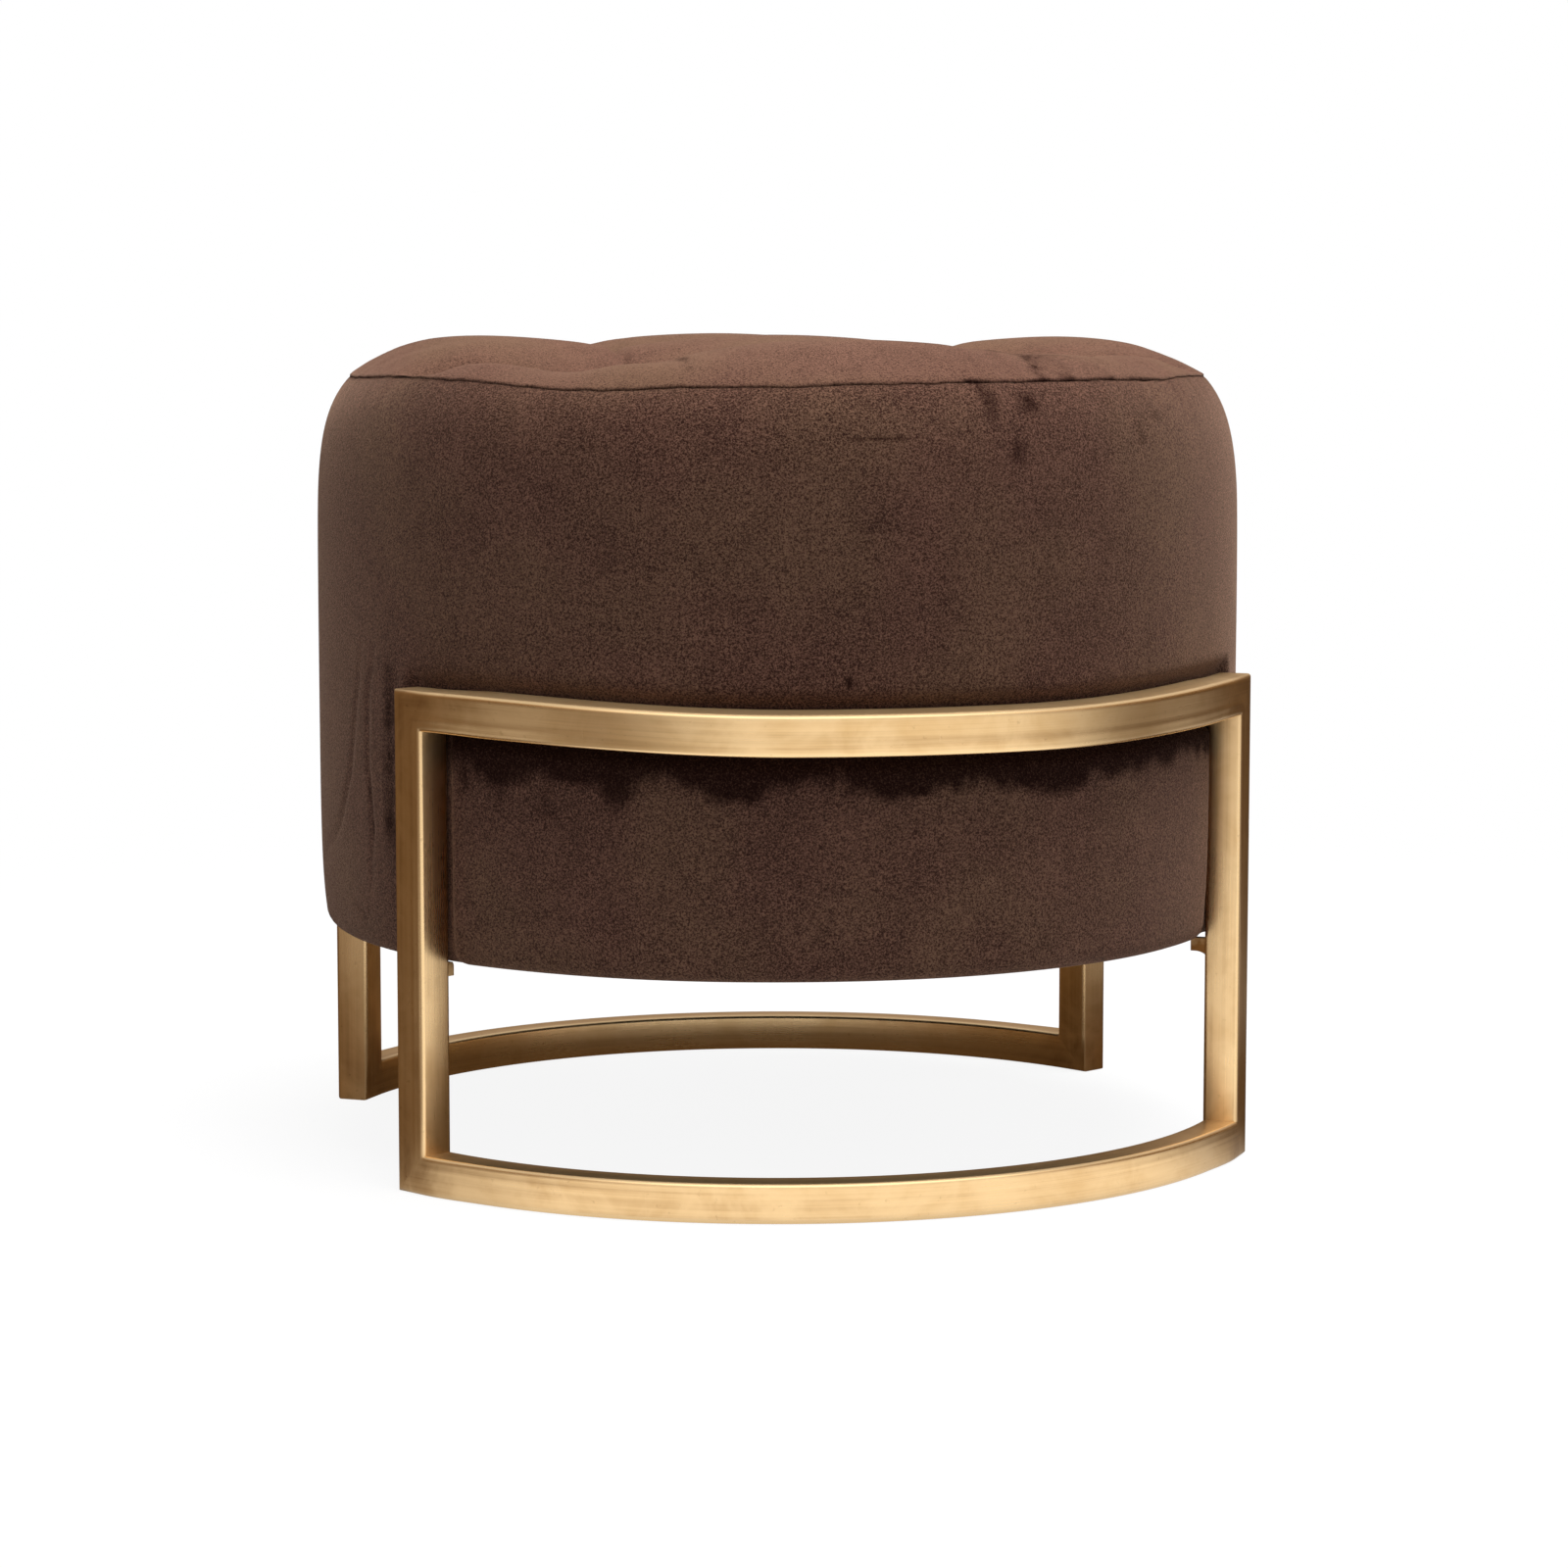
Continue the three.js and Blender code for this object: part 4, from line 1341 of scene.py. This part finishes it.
            # Painted shade on the foot's round
            dark.append(np.full_like(azimuth, self.foot_shade))
        gathers = Ripple.GATHERS.at(azimuth)
        under = foot - form.bottom_round
        for share in np.linspace(0, 1, self.hem_rows + 1)[1:]:
            lift = np.clip(self.gather * (1 + gathers * smooth(share * 2)), 0, self.most_gather)
            rows.append(around(under - form.hem * share, azimuth, form.underside + lift))
            # Painted shade in the hollows between the hem's gathers, less where they rise
            dark.append(np.clip(0.25 - 0.3 * gathers, 0, 1))
        inside = form.thickness
        top_of_hem = form.underside + inside + self.hem_gap
        rows.append(around(under - form.hem, azimuth, top_of_hem))
        rows.append(around(under - inside, azimuth, top_of_hem))
        inner = np.minimum(foot.min(), form.frame_inner - form.press_gap) - inside
        rows.append(around(inner, azimuth, form.underside + form.bottom_round + inside))
        for high in side[len(self.first_rows) - 1:-1][::-self.lining_step]:
            reach = np.minimum(inner, form.side_radius(np.array(high)) - inside - self.lining_gap)
            rows.append(around(reach, azimuth, high))
        seam = form.side_radius(np.array(form.seam_height)) - 2 * inside
        rows.append(around(seam, azimuth, form.seam_height + wave))
        dark += [np.zeros_like(azimuth)] * (len(rows) - len(dark))
        made = skin("velvet_side", np.stack(rows), False)
        set_attribute(made, "nap_and_painted_shade", np.stack(dark).ravel())
        finish_piece(made, self.finish, Slot.VELVET, "velvet_band")


@dataclass
class Wadding:
    """The foam that the velvet is pulled over: a pad under the top and a sleeve round the wall."""

    form: DrumForm
    finish: bpy.types.Material
    below_velvet: float = 1.4 * MM
    columns: int = 240
    pad_rows: int = 12
    sleeve_rows: int = 30

    def skin_under(self, height: np.ndarray) -> np.ndarray:
        """Radius of the foam just inside the band at each height."""
        inside = 2 * self.form.thickness
        inner = self.form.frame_inner - self.form.press_gap
        return np.minimum(inner - inside, self.form.side_radius(height) - inside)

    def build_top(self, cover: np.ndarray) -> None:
        """Builds the pad under the top.

        Args:
            cover: the velvet's upper surface, as rows of points.
        """
        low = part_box("top_foam")[0].z
        upper = cover.copy()
        upper[..., 2] -= self.below_velvet
        azimuth = np.arange(cover.shape[1]) / cover.shape[1] * TAU
        heights = np.linspace(self.form.seam_height - self.below_velvet, low, self.pad_rows)[1:]
        sides = [around(self.skin_under(np.array(high)), azimuth, high) for high in heights]
        foot = np.zeros_like(sides[0])
        foot[:, 2] = low
        made = skin("top_pad", np.concatenate([upper, np.stack(sides + [foot])]), True)
        finish_piece(made, self.finish, Slot.FOAM, "top_foam")

    def build_side(self) -> None:
        """Builds the sleeve round the wall."""
        low, high = (corner.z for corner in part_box("side_foam"))
        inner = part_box("drum_wall")[1].x + self.form.thickness / 4
        azimuth = np.arange(self.columns) / self.columns * TAU
        foot = self.form.underside + self.form.bottom_round
        levels = np.linspace(high, foot, self.sleeve_rows)
        outer = [around(self.skin_under(np.array(level)), azimuth, level) for level in levels]
        outer.append(around(self.skin_under(np.array(foot)) - (foot - low), azimuth, low))
        rows = [around(inner, azimuth, high), *outer, around(inner, azimuth, low)]
        made = skin("side_sleeve", np.stack(rows), False)
        finish_piece(made, self.finish, Slot.FOAM, "side_foam")


@dataclass
class DustCover:
    """The thin lining that closes the drum underneath."""

    form: DrumForm
    finish: bpy.types.Material
    thickness: float = 0.8 * MM
    sag: float = 2.5 * MM
    pucker: float = 0.5 * MM
    unevenness: float = 0.6 * MM
    rows: int = 44
    columns: int = 288
    staples: int = 48

    @property
    def radius(self) -> float:
        """Radius of the lining's folded edge."""
        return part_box("dust_cover")[1].x

    def build(self) -> None:
        """Builds the lining."""
        radii = self.radius * np.linspace(0, 1, self.rows) ** 0.9
        azimuth = np.arange(self.columns) / self.columns * TAU
        share = (radii / self.radius)[:, None]
        upper = around(radii[:, None], azimuth[None, :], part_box("dust_cover")[1].z)
        pulled = 0.5 - 0.5 * np.cos(azimuth * self.staples)
        upper[..., 2] -= self.sag * smooth((1 - share) * 1.8)
        upper[..., 2] -= self.pucker * pulled * smooth((share - 0.75) * 4) * (1 - smooth((share - 0.97) * 30))
        upper[..., 2] -= self.unevenness * (1 + Ripple.LINING.at(azimuth)) * share * smooth((1 - share) * 3)
        lower = upper[::-1].copy()
        lower[..., 2] -= self.thickness
        made = skin("dust_lining", np.concatenate([upper, lower]), True)
        finish_piece(made, self.finish, Slot.LINING, "dust_cover")


@dataclass
class SeatLug:
    """A small bent plate at a leg's inner face, which the drum rests on."""

    name: str
    form: DrumForm
    finish: bpy.types.Material
    azimuth: float
    length: float = 8.5 * MM
    width: float = 4 * MM
    nose: float = 6.5 * MM
    root: float = 10.5 * MM
    corner: tuple = (0.6 * MM, 1.5 * MM)
    nose_depth: float = 2 * MM
    sweep_steps: int = 8
    bevel: float = 0.9 * MM
    weld: float = 3.2

    def outline(self) -> list[tuple[float, float]]:
        """The side view: flat on top, with a hollow sweep underneath.

        Returns:
            Radii and heights.
        """
        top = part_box(self.name)[1].z
        root = self.form.frame_inner - 0.2 * MM
        nose = root - self.length
        along, down = self.corner
        points = [(root, top), (nose + along, top), (nose, top - down), (nose, top - self.nose)]
        for step in range(1, self.sweep_steps + 1):
            angle = step / self.sweep_steps * math.pi / 2
            points.append((nose + self.nose_depth + (root - nose - self.nose_depth) * math.sin(angle),
                           top - self.nose - (self.root - self.nose) * (1 - math.cos(angle))))
        return points

    def build(self) -> None:
        """Builds the lug."""
        points = self.outline()
        count = len(points)
        along = around(1.0, self.azimuth, 0.0)
        aside = around(1.0, self.azimuth + math.pi / 2, 0.0)
        places = [along * radius + aside * side * self.width / 2 + np.array([0, 0, height])
                  for side in (-1, 1) for radius, height in points]
        faces = [list(range(count))[::-1], list(range(count, 2 * count))]
        faces += [(a, (a + 1) % count, (a + 1) % count + count, a + count) for a in range(count)]
        made = mesh_object(self.name + "_plate", np.array(places), faces)
        bevel = made.modifiers.new("edges", "BEVEL")
        bevel.width = self.bevel
        bevel.segments = 3
        bevel.angle_limit = math.radians(30)
        replace_by_result(made)
        turn_outward(made)
        made.data.set_sharp_from_angle(angle=math.radians(40))
        points = mesh_points(made.data)
        lay_out(made, points[[loop.vertex_index for loop in made.data.loops]][:, [0, 2]])
        set_attribute(made, "weld", np.full(len(points), self.weld))
        finish_piece(made, self.finish, Slot.BRASS, self.name)


def turn_outward(made: bpy.types.Object) -> None:
    """Turns a mesh's faces outward.

    Args:
        made: the object whose mesh is turned.
    """
    work = bmesh.new()
    work.from_mesh(made.data)
    bmesh.ops.recalc_face_normals(work, faces=work.faces)
    work.to_mesh(made.data)
    work.free()


@dataclass
class WireRing:
    """Copies of a short bent wire set round the seat's axis by Geometry Nodes."""

    name: str
    finish: bpy.types.Material
    slot: Slot
    count: int
    radius: float
    height: float
    length: float = 10 * MM
    wire: float = 0.55 * MM
    leg: float = 4 * MM
    jitter: float = 0.35
    seed: int = 3
    wire_sides: int = 6

    @property
    def values(self) -> dict[str, float]:
        """What each input of the node tree is set to."""
        return {"Count": self.count, "Radius": self.radius, "Height": self.height, "Length": self.length,
                "Wire": self.wire, "Leg": self.leg, "Jitter": self.jitter, "Seed": self.seed}

    def tree(self) -> bpy.types.NodeTree:
        """Builds the node tree: three straight runs of wire, copied round a circle.

        Returns:
            The tree.
        """
        tree = bpy.data.node_groups.new(self.name, "GeometryNodeTree")
        for label, value in self.values.items():
            kind = "NodeSocketInt" if isinstance(value, int) else "NodeSocketFloat"
            tree.interface.new_socket(label, in_out="INPUT", socket_type=kind)
        tree.interface.new_socket("Geometry", in_out="OUTPUT", socket_type="NodeSocketGeometry")
        graph = Graph(tree)
        inputs = graph.node("NodeGroupInput").outputs
        given = {label: Value(graph, inputs[label]) for label in self.values}
        half, leg = given["Length"] * 0.5, given["Leg"]
        back = half * -1.0
        corners = [graph.vector(*place) for place in ((back, 0.0, leg), (back, 0.0, 0.0), (half, 0.0, 0.0), (half, 0.0, leg))]
        runs = graph.node("GeometryNodeJoinGeometry")
        for start, end in zip(corners, corners[1:]):
            line = graph.node("GeometryNodeCurvePrimitiveLine", {}, {"Start": start, "End": end})
            graph.feed(runs.inputs["Geometry"], line.outputs["Curve"])
        section = graph.value("GeometryNodeCurvePrimitiveCircle", "Curve", {},
                              {"Resolution": self.wire_sides, "Radius": given["Wire"]})
        bent = graph.value("GeometryNodeCurveToMesh", "Mesh", {}, {
            "Curve": runs.outputs["Geometry"], "Profile Curve": section, "Fill Caps": True})
        ring = graph.value("GeometryNodeMeshCircle", "Mesh", {}, {
            "Vertices": given["Count"], "Radius": given["Radius"]})
        swing = graph.value("FunctionNodeRandomValue", 1, {}, {
            2: given["Jitter"] * -1.0, 3: given["Jitter"], "Seed": given["Seed"]})
        turn = graph.value("GeometryNodeInputIndex") * TAU / given["Count"]
        angle = turn + math.pi / 2 + swing
        rotation = graph.value("FunctionNodeEulerToRotation", 0, {}, {0: graph.vector(0.0, 0.0, angle)})
        copies = graph.value("GeometryNodeInstanceOnPoints", "Instances", {}, {
            "Points": ring, "Instance": bent, "Rotation": rotation})
        painted_top_light = graph.value("GeometryNodeTransform", "Geometry", {}, {
            "Geometry": copies, "Translation": graph.vector(0.0, 0.0, given["Height"])})
        real = graph.value("GeometryNodeRealizeInstances", "Geometry", {}, {"Geometry": painted_top_light})
        dressed = graph.value("GeometryNodeSetMaterial", "Geometry", {}, {
            "Geometry": real, "Material": self.finish})
        graph.node("NodeGroupOutput", {}, {"Geometry": dressed})
        return tree

    def build(self) -> None:
        """Builds the ring."""
        made = mesh_object(self.name, np.zeros((0, 3)), [])
        layer = made.modifiers.new("copies", "NODES")
        layer.node_group = self.tree()
        for item in layer.node_group.interface.items_tree:
            if item.name in self.values:
                layer[item.identifier] = self.values[item.name]
        replace_by_result(made)
        finish_piece(made, self.finish, self.slot)


# The tube frames


@dataclass
class TubeFrame:
    """One welded frame: two bent rails and two upright legs of rectangular tube."""

    end: End
    form: DrumForm
    finish: bpy.types.Material
    depth: float = 16 * MM
    width: float = 19 * MM
    corner: float = 2.0 * MM
    corner_steps: int = 4
    twist: float = math.radians(5)
    swelling: float = 0.05
    flare: float = 1.5 * MM
    flare_reach: float = 0.14
    face_points: int = 15
    bead: float = 0.1 * MM
    bead_place: float = 0.25
    bead_spread: float = 0.07
    arc_step: float = math.radians(1.0)
    rows_by_weld: tuple = (0, 3 * MM, 8 * MM, 16 * MM, 30 * MM)
    weld_reach: float = 14 * MM
    foot_dust: float = 0.5

    @property
    def height(self) -> float:
        """Height of the frame."""
        return self.form.rail[1]

    @property
    def leg_azimuth(self) -> float:
        """How far round each leg stands from the frame's middle."""
        return self.form.frame_reach - math.asin(self.width / 2 / (self.form.frame_inner + self.depth))

    @property
    def rail_reach(self) -> float:
        """How far round each rail goes from the frame's middle, up to the legs."""
        return self.leg_azimuth - self.width / 2 / self.form.frame_inner

    def sag(self, azimuth: float) -> float:
        """How far the top rail hangs at one angle, which only the front frame's does."""
        return float(self.form.rail_sag(np.array(azimuth))) if self.end is End.FRONT else 0.0

    def profile(self) -> tuple[np.ndarray, np.ndarray, np.ndarray]:
        """The tube's section.

        Returns:
            Offsets from its middle, out from the axis and out of the frame, how close each point is to
            a rounded edge, and its length round the section, with the whole length last.
        """
        half_depth, half_width = self.depth / 2 - self.corner, self.width / 2 - self.corner
        outward, aside, edge = [], [], []
        for across, up, turn in ((1, 1, 0.0), (-1, 1, 0.5), (-1, -1, 1.0), (1, -1, 1.5)):
            for step in range(self.corner_steps + 1):
                angle = turn * math.pi + step / self.corner_steps * math.pi / 2
                outward.append(across * half_depth + self.corner * math.cos(angle))
                aside.append(up * half_width + self.corner * math.sin(angle))
                edge.append(1.0 if 0 < step < self.corner_steps else 0.3)
        for share in np.linspace(0, 1, self.face_points + 2)[1:-1]:
            outward.append(self.depth / 2 + self.bead * math.exp(-((share - self.bead_place) / self.bead_spread) ** 2))
            aside.append(half_width * (2 * share - 1))
            edge.append(0.0)
        points = np.stack([outward, aside], 1)
        lengths = np.hypot(*(np.roll(points, -1, 0) - points).T)
        return points, np.array(edge), np.concatenate([[0], np.cumsum(lengths)])

    def section(self, kind: str, place: float, side: int) -> np.ndarray:
        """The tube's section at one place of the frame.

        Args:
            kind: low or high for a rail, leg for a leg, or foot or head for a mitred corner.
            place: the azimuth on a rail, or the height on a leg.
            side: 1 for the right leg or end, -1 for the left.

        Returns:
            The section's points.
        """
        outward, aside = self.profile()[0].T
        near = 1.0 if side else float(smooth((abs(place) - self.rail_reach) / self.flare_reach + 1))
        radius = self.form.frame_inner + self.depth / 2 + outward + self.flare * near * (outward > 0)
        middle = self.width / 2
        if kind == "low":
            return around(radius, place, middle - aside)
        if kind == "high":
            close = (self.leg_azimuth - abs(place)) * self.form.radius / self.width
            twist = self.twist * float(smooth(close / 2 - 0.25))
            lean = outward * math.sin(twist)
            radius = radius + aside * math.sin(twist)
            aside = aside * (1 + self.swelling * twist / self.twist)
            return around(radius, place, self.height - middle + aside - lean - self.sag(place))
        azimuth = side * self.leg_azimuth
        drop = self.sag(azimuth)
        height = np.full_like(aside, place - drop * place / self.height)
        if kind == "foot":
            height = middle - aside
        if kind == "head":
            height = self.height - middle + aside - drop
        tangent = around(1.0, azimuth + side * math.pi / 2, 0.0)
        return around(radius, azimuth, height) + aside[:, None] * tangent

    def route(self) -> list[tuple[str, float, int, float]]:
        """The sections round the frame, anticlockwise from the bottom left.

        Returns:
            What section takes, and how near a weld each one is.
        """
        reach = self.rail_reach
        arc = np.linspace(-reach, reach, int(2 * reach / self.arc_step) + 1)
        near = np.exp(-(reach - np.abs(arc)) * self.form.radius / self.weld_reach)
        rows = np.array(self.rows_by_weld)
        top = self.height - self.width
        rise = np.concatenate([self.width + rows, [self.height / 2], top - rows[::-1]])
        rise_near = np.exp(-np.minimum(rise - self.width, top - rise) / self.weld_reach)
        steps = [("foot", 0.0, -1, 1.0)]
        steps += [("low", turn, 0, close) for turn, close in zip(arc, near)]
        steps += [("foot", 0.0, 1, 1.0)]
        steps += [("leg", high, 1, close) for high, close in zip(rise, rise_near)]
        steps += [("head", 0.0, 1, 1.0)]
        steps += [("high", turn, 0, close) for turn, close in zip(arc[::-1], near[::-1])]
        steps += [("head", 0.0, -1, 1.0)]
        steps += [("leg", high, -1, close) for high, close in zip(rise[::-1], rise_near[::-1])]
        return steps

    def build(self) -> None:
        """Builds the frame."""
        steps = self.route()
        rows = np.stack([self.section(kind, place, side) for kind, place, side, _ in steps])
        turn = self.end.value
        rows = rows @ np.array([[math.cos(turn), math.sin(turn), 0], [-math.sin(turn), math.cos(turn), 0], [0, 0, 1]])
        count, columns = rows.shape[:2]
        column = np.arange(columns)
        beside = (column + 1) % columns
        faces = []
        for row in range(count):
            here, ahead = row * columns, ((row + 1) % count) * columns
            faces += np.stack([here + column, here + beside, ahead + beside, ahead + column], 1).tolist()
        prefix = self.end.name.lower()
        made = mesh_object(f"{prefix}_tube_frame", rows.reshape(-1, 3), faces)
        points, edge, lengths = self.profile()
        set_attribute(made, "weld", np.repeat([near for *_, near in steps], columns))
        set_attribute(made, "edge", np.tile(edge, count))
        face = self.width / 2 - self.corner / 2
        upper = np.outer([kind in ("high", "head") for kind, *_ in steps], points[:, 1] > face)
        lower = np.outer([kind in ("low", "foot") for kind, *_ in steps], points[:, 1] < -face)
        set_attribute(made, "dusty", (upper + lower * self.foot_dust).ravel())
        self.lay_length(made, rows, lengths)
        made.data.set_sharp_from_angle(angle=math.radians(50))
        nodes = [f"{prefix}_{piece}" for piece in ("top_rail", "bottom_rail", "left_leg", "right_leg")]
        finish_piece(made, self.finish, Slot.BRASS, *nodes)

    @staticmethod
    def lay_length(made: bpy.types.Object, rows: np.ndarray, lengths: np.ndarray) -> None:
        """Lays a UV map along the tube: length along it, and length round its section, in metres.

        Args:
            made: the frame's mesh, whose faces go row by row.
            rows: its sections.
            lengths: length round the section at each point, and its whole length last.
        """
        middles = rows.mean(1)
        along = np.concatenate([[0], np.cumsum(np.linalg.norm(np.roll(middles, -1, 0) - middles, axis=1))])
        spots = [((here, low), (here, high), (ahead, high), (ahead, low))
                 for here, ahead in zip(along, along[1:]) for low, high in zip(lengths, lengths[1:])]
        lay_out(made, spots)


# The studio


@dataclass(frozen=True)
class Lamp:
    """A soft area lamp that faces the seat, and that polished surfaces don't mirror."""

    name: str
    place: tuple
    size: tuple
    power: float
    aim: tuple = (0.0, 0.0, 0.22)

    def build(self) -> None:
        """Adds the lamp."""
        data = bpy.data.lights.new(self.name, "AREA")
        data.shape = "RECTANGLE"
        data.size, data.size_y = self.size
        data.energy = self.power
        made = bpy.data.objects.new(self.name, data)
        made.location = self.place
        made.visible_glossy = False
        made.rotation_euler = (Vector(self.aim) - Vector(self.place)).to_track_quat("-Z", "Y").to_euler()
        bpy.context.scene.collection.objects.link(made)


@dataclass
class Studio:
    """Camera, floor, world and lamps."""

    position: tuple = (-0.46965, -2.1378, 0.4208)
    swing: float = 0.2179
    tilt: float = 0.1119
    lens: float = 100.06
    sensor: float = 36.0
    # Warm and amber tint the glossy world at the sides and the floor's painted-reflection glows
    warm: tuple = (1.0, 0.62, 0.32, 1.0)
    amber: tuple = (1.0, 0.5, 0.16, 1.0)
    bounce: tuple = (0.55, 0.55, 0.55, 1.0)
    seen_floor: tuple = (0.9, 0.9, 0.9, 1.0)
    floor_drop: float = 0.2 * MM
    floor_rings: tuple = (0.6, 2.0, 12.0)
    floor_columns: int = 96
    # Strengths of the floor's glows that glossy rays see, a painted reflection: far off, at the sides, at the right,
    # and under the stool as a painted shadow
    far_light: float = 1.35
    side_light: float = 0.155
    right_light: float = 0.085
    under_light: float = 0.08
    lamps: tuple = (
        Lamp("front_lamp", (-0.5, -2.6, 1.5), (1.8, 1.4), 12.5),
        Lamp("top_lamp", (0.3, -0.3, 2.2), (1.6, 1.6), 95),
        Lamp("left_lamp", (-2.2, -0.2, 0.9), (0.8, 1.6), 4),
        Lamp("right_lamp", (2.2, 0.1, 0.9), (0.8, 1.6), 8),
    )

    def camera(self) -> None:
        """Places the camera where the photograph was taken from."""
        data = bpy.data.cameras.new("camera")
        data.lens = self.lens
        data.sensor_width = self.sensor
        data.clip_end = 60
        made = bpy.data.objects.new("camera", data)
        made.location = self.position
        made.rotation_euler = (math.pi / 2 - self.tilt, 0, -self.swing)
        bpy.context.scene.collection.objects.link(made)
        bpy.context.scene.camera = made

    @staticmethod
    def rays(graph: Graph) -> tuple[Value, Value]:
        """Tells the rays that see a surface from those that mirror it.

        Args:
            graph: the node tree of a material or a world.

        Returns:
            1 for rays of the eye, and 1 for glossy rays.
        """
        path = graph.node("ShaderNodeLightPath").outputs
        seen = Value(graph, path["Is Camera Ray"]) + Value(graph, path["Is Transmission Ray"])
        return seen, Value(graph, path["Is Glossy Ray"])

    def world(self) -> None:
        """A white surround for the eye and for gloss, and a softer one that lights the piece."""
        made = bpy.data.worlds.new("studio")
        made.use_nodes = True
        bpy.context.scene.world = made
        graph = Graph(made.node_tree)
        seen, gloss = self.rays(graph)
        _, back, up = graph.parts(graph.node("ShaderNodeTexCoord").outputs["Generated"])
        front = (back * -1.0).over(0.2, 0.95)
        above = up.over(0.15, 0.6)
        mirrored = 0.24 + front * 0.85 + above * (0.5 + front * 1.2)
        strength = seen + gloss * mirrored + (1.0 - seen - gloss).clamped() * 0.26
        plain = (1.0 - gloss + front + above).clamped()
        inputs = {"Color": graph.mixed(plain, self.warm, WHITE), "Strength": strength}
        light = graph.value("ShaderNodeBackground", "Background", {}, inputs)
        graph.node("ShaderNodeOutputWorld", {}, {"Surface": light})

    def mirrored_floor(self, graph: Graph, place: bpy.types.NodeSocket, white: bpy.types.NodeSocket) -> tuple:
        """What the tubes mirror of the floor, painted as glows that only glossy rays see: bright in front, dim and
        warm at the sides, and dim underneath as a painted shadow.

        Args:
            graph: the floor's material.
            place: the floor's coordinates.
            white: a white glow.

        Returns:
            The surface, and the distance from the seat's axis.
        """
        reach = graph.value("ShaderNodeVectorMath", "Value", {"operation": "LENGTH"}, {0: place})
        right, back, _ = graph.parts(place)
        forward = (right * 0.2 - back * 0.98) / reach
        rightward = right / reach
        front = forward.over(0.45, 0.96)
        # Painted reflection: a brighter ring round the seat and a bright place close in front
        ring = reach.over(0.4, 0.75) * (1.0 - reach.over(1.0, 1.7))
        close = ring * 0.4 * forward.over(-0.3, 0.1) * (1.0 - forward.over(0.25, 0.7))
        near = (1.0 - reach.over(0.34, 0.48)) * forward.over(0.1, 0.5) * (1.0 - rightward.over(0.3, 0.8)) * 0.75
        bright = graph.blended(reach.over(0.9, 1.7), graph.glowing(WHITE, self.far_light), white)
        dim = graph.blended(rightward.over(0.4, 0.95), graph.glowing(self.warm, self.side_light),
                            graph.glowing(self.amber, self.right_light))
        side = graph.blended((front + close + near).clamped(), dim, bright)
        # Under the stool the tubes see a dim glow, a painted shadow
        return graph.blended(reach.over(0.2, 0.27), graph.glowing(self.warm, self.under_light), side), reach

    def floor(self) -> None:
        """A wide pale floor that keeps the stool's soft shadow and can't be seen from below."""
        columns = self.floor_columns
        turn = np.arange(columns) / columns * TAU
        rings = [around(reach, turn, -self.floor_drop) for reach in self.floor_rings]
        points = np.concatenate([[[0, 0, -self.floor_drop]], *rings])
        faces = fan(0, 1, columns)
        for ring in range(len(rings) - 1):
            faces += strip(1 + ring * columns, 1 + (ring + 1) * columns, columns)
        made = mesh_object("floor", points, faces)
        material, graph, place = new_material("pale_floor")
        seen, gloss = self.rays(graph)
        seen = seen.clamped()
        white = graph.glowing(WHITE, 1.0)
        mirrored, reach = self.mirrored_floor(graph, place, white)
        glow = seen * (0.9 + reach.over(0.35, 1.3) * 0.1)
        shade = graph.mixed(seen, self.bounce, self.seen_floor)
        plain = graph.node("ShaderNodeBsdfDiffuse", {}, {"Color": shade}).outputs[0]
        above = graph.blended(gloss, graph.blended(glow, plain, white), mirrored)
        below = graph.value("ShaderNodeNewGeometry", "Backfacing")
        graph.finish(graph.blended(below, above, graph.node("ShaderNodeBsdfTransparent").outputs[0]))
        made.data.materials.append(material)

    def build(self) -> None:
        """Sets the whole studio up."""
        self.camera()
        self.world()
        self.floor()
        for lamp in self.lamps:
            lamp.build()
        bpy.context.scene.view_settings.view_transform = "Standard"


def dress_nodes(finishes: dict[Slot, bpy.types.Material]) -> None:
    """Gives every node that still shows its finish.

    Args:
        finishes: the material of each slot.
    """
    by_word = {
        "bolt": Slot.STEEL, "washer": Slot.STEEL, "nut": Slot.STEEL, "board": Slot.PLYWOOD,
        "wall": Slot.PLYWOOD, "post": Slot.SOFTWOOD, "tie": Slot.TWINE,
    }
    for name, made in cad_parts.items():
        if made.hide_render:
            continue
        slot = next(slot for word, slot in by_word.items() if word in name.split("_"))
        made.data.materials.clear()
        made.data.materials.append(finishes[slot])
        LOG.info("%s: carried over as %s", name, slot.value)


def main() -> None:
    """Builds the stool's looks and its studio."""
    logging.basicConfig(level=logging.INFO, format="%(name)s: %(message)s")
    finishes = {slot: finish.make() for slot, finish in FINISHES.items()}
    velvet, brass = finishes[Slot.VELVET], finishes[Slot.BRASS]
    form = DrumForm()
    cover = VelvetTop(form, velvet).build()
    VelvetBand(form, velvet).build()
    wadding = Wadding(form, finishes[Slot.FOAM])
    wadding.build_top(cover)
    wadding.build_side()
    lining = DustCover(form, finishes[Slot.LINING])
    lining.build()
    staple_reach = lining.radius - 5 * MM
    staple_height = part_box("dust_cover")[0].z - 0.3 * MM
    staple_wire = STAPLE_WIRE.make()
    WireRing("lining_staples", staple_wire, Slot.STEEL, lining.staples, staple_reach, staple_height).build()
    for end in End:
        body = TubeFrame(end, form, brass)
        body.build()
        for side in (-1, 1):
            is_right = (side == 1) == (end is End.FRONT)
            name = f"{end.name.lower()}_{'right' if is_right else 'left'}_seat_lug"
            SeatLug(name, form, brass, end.value + side * body.leg_azimuth).build()
    dress_nodes(finishes)
    Studio().build()


if __name__ == "__main__":
    main()
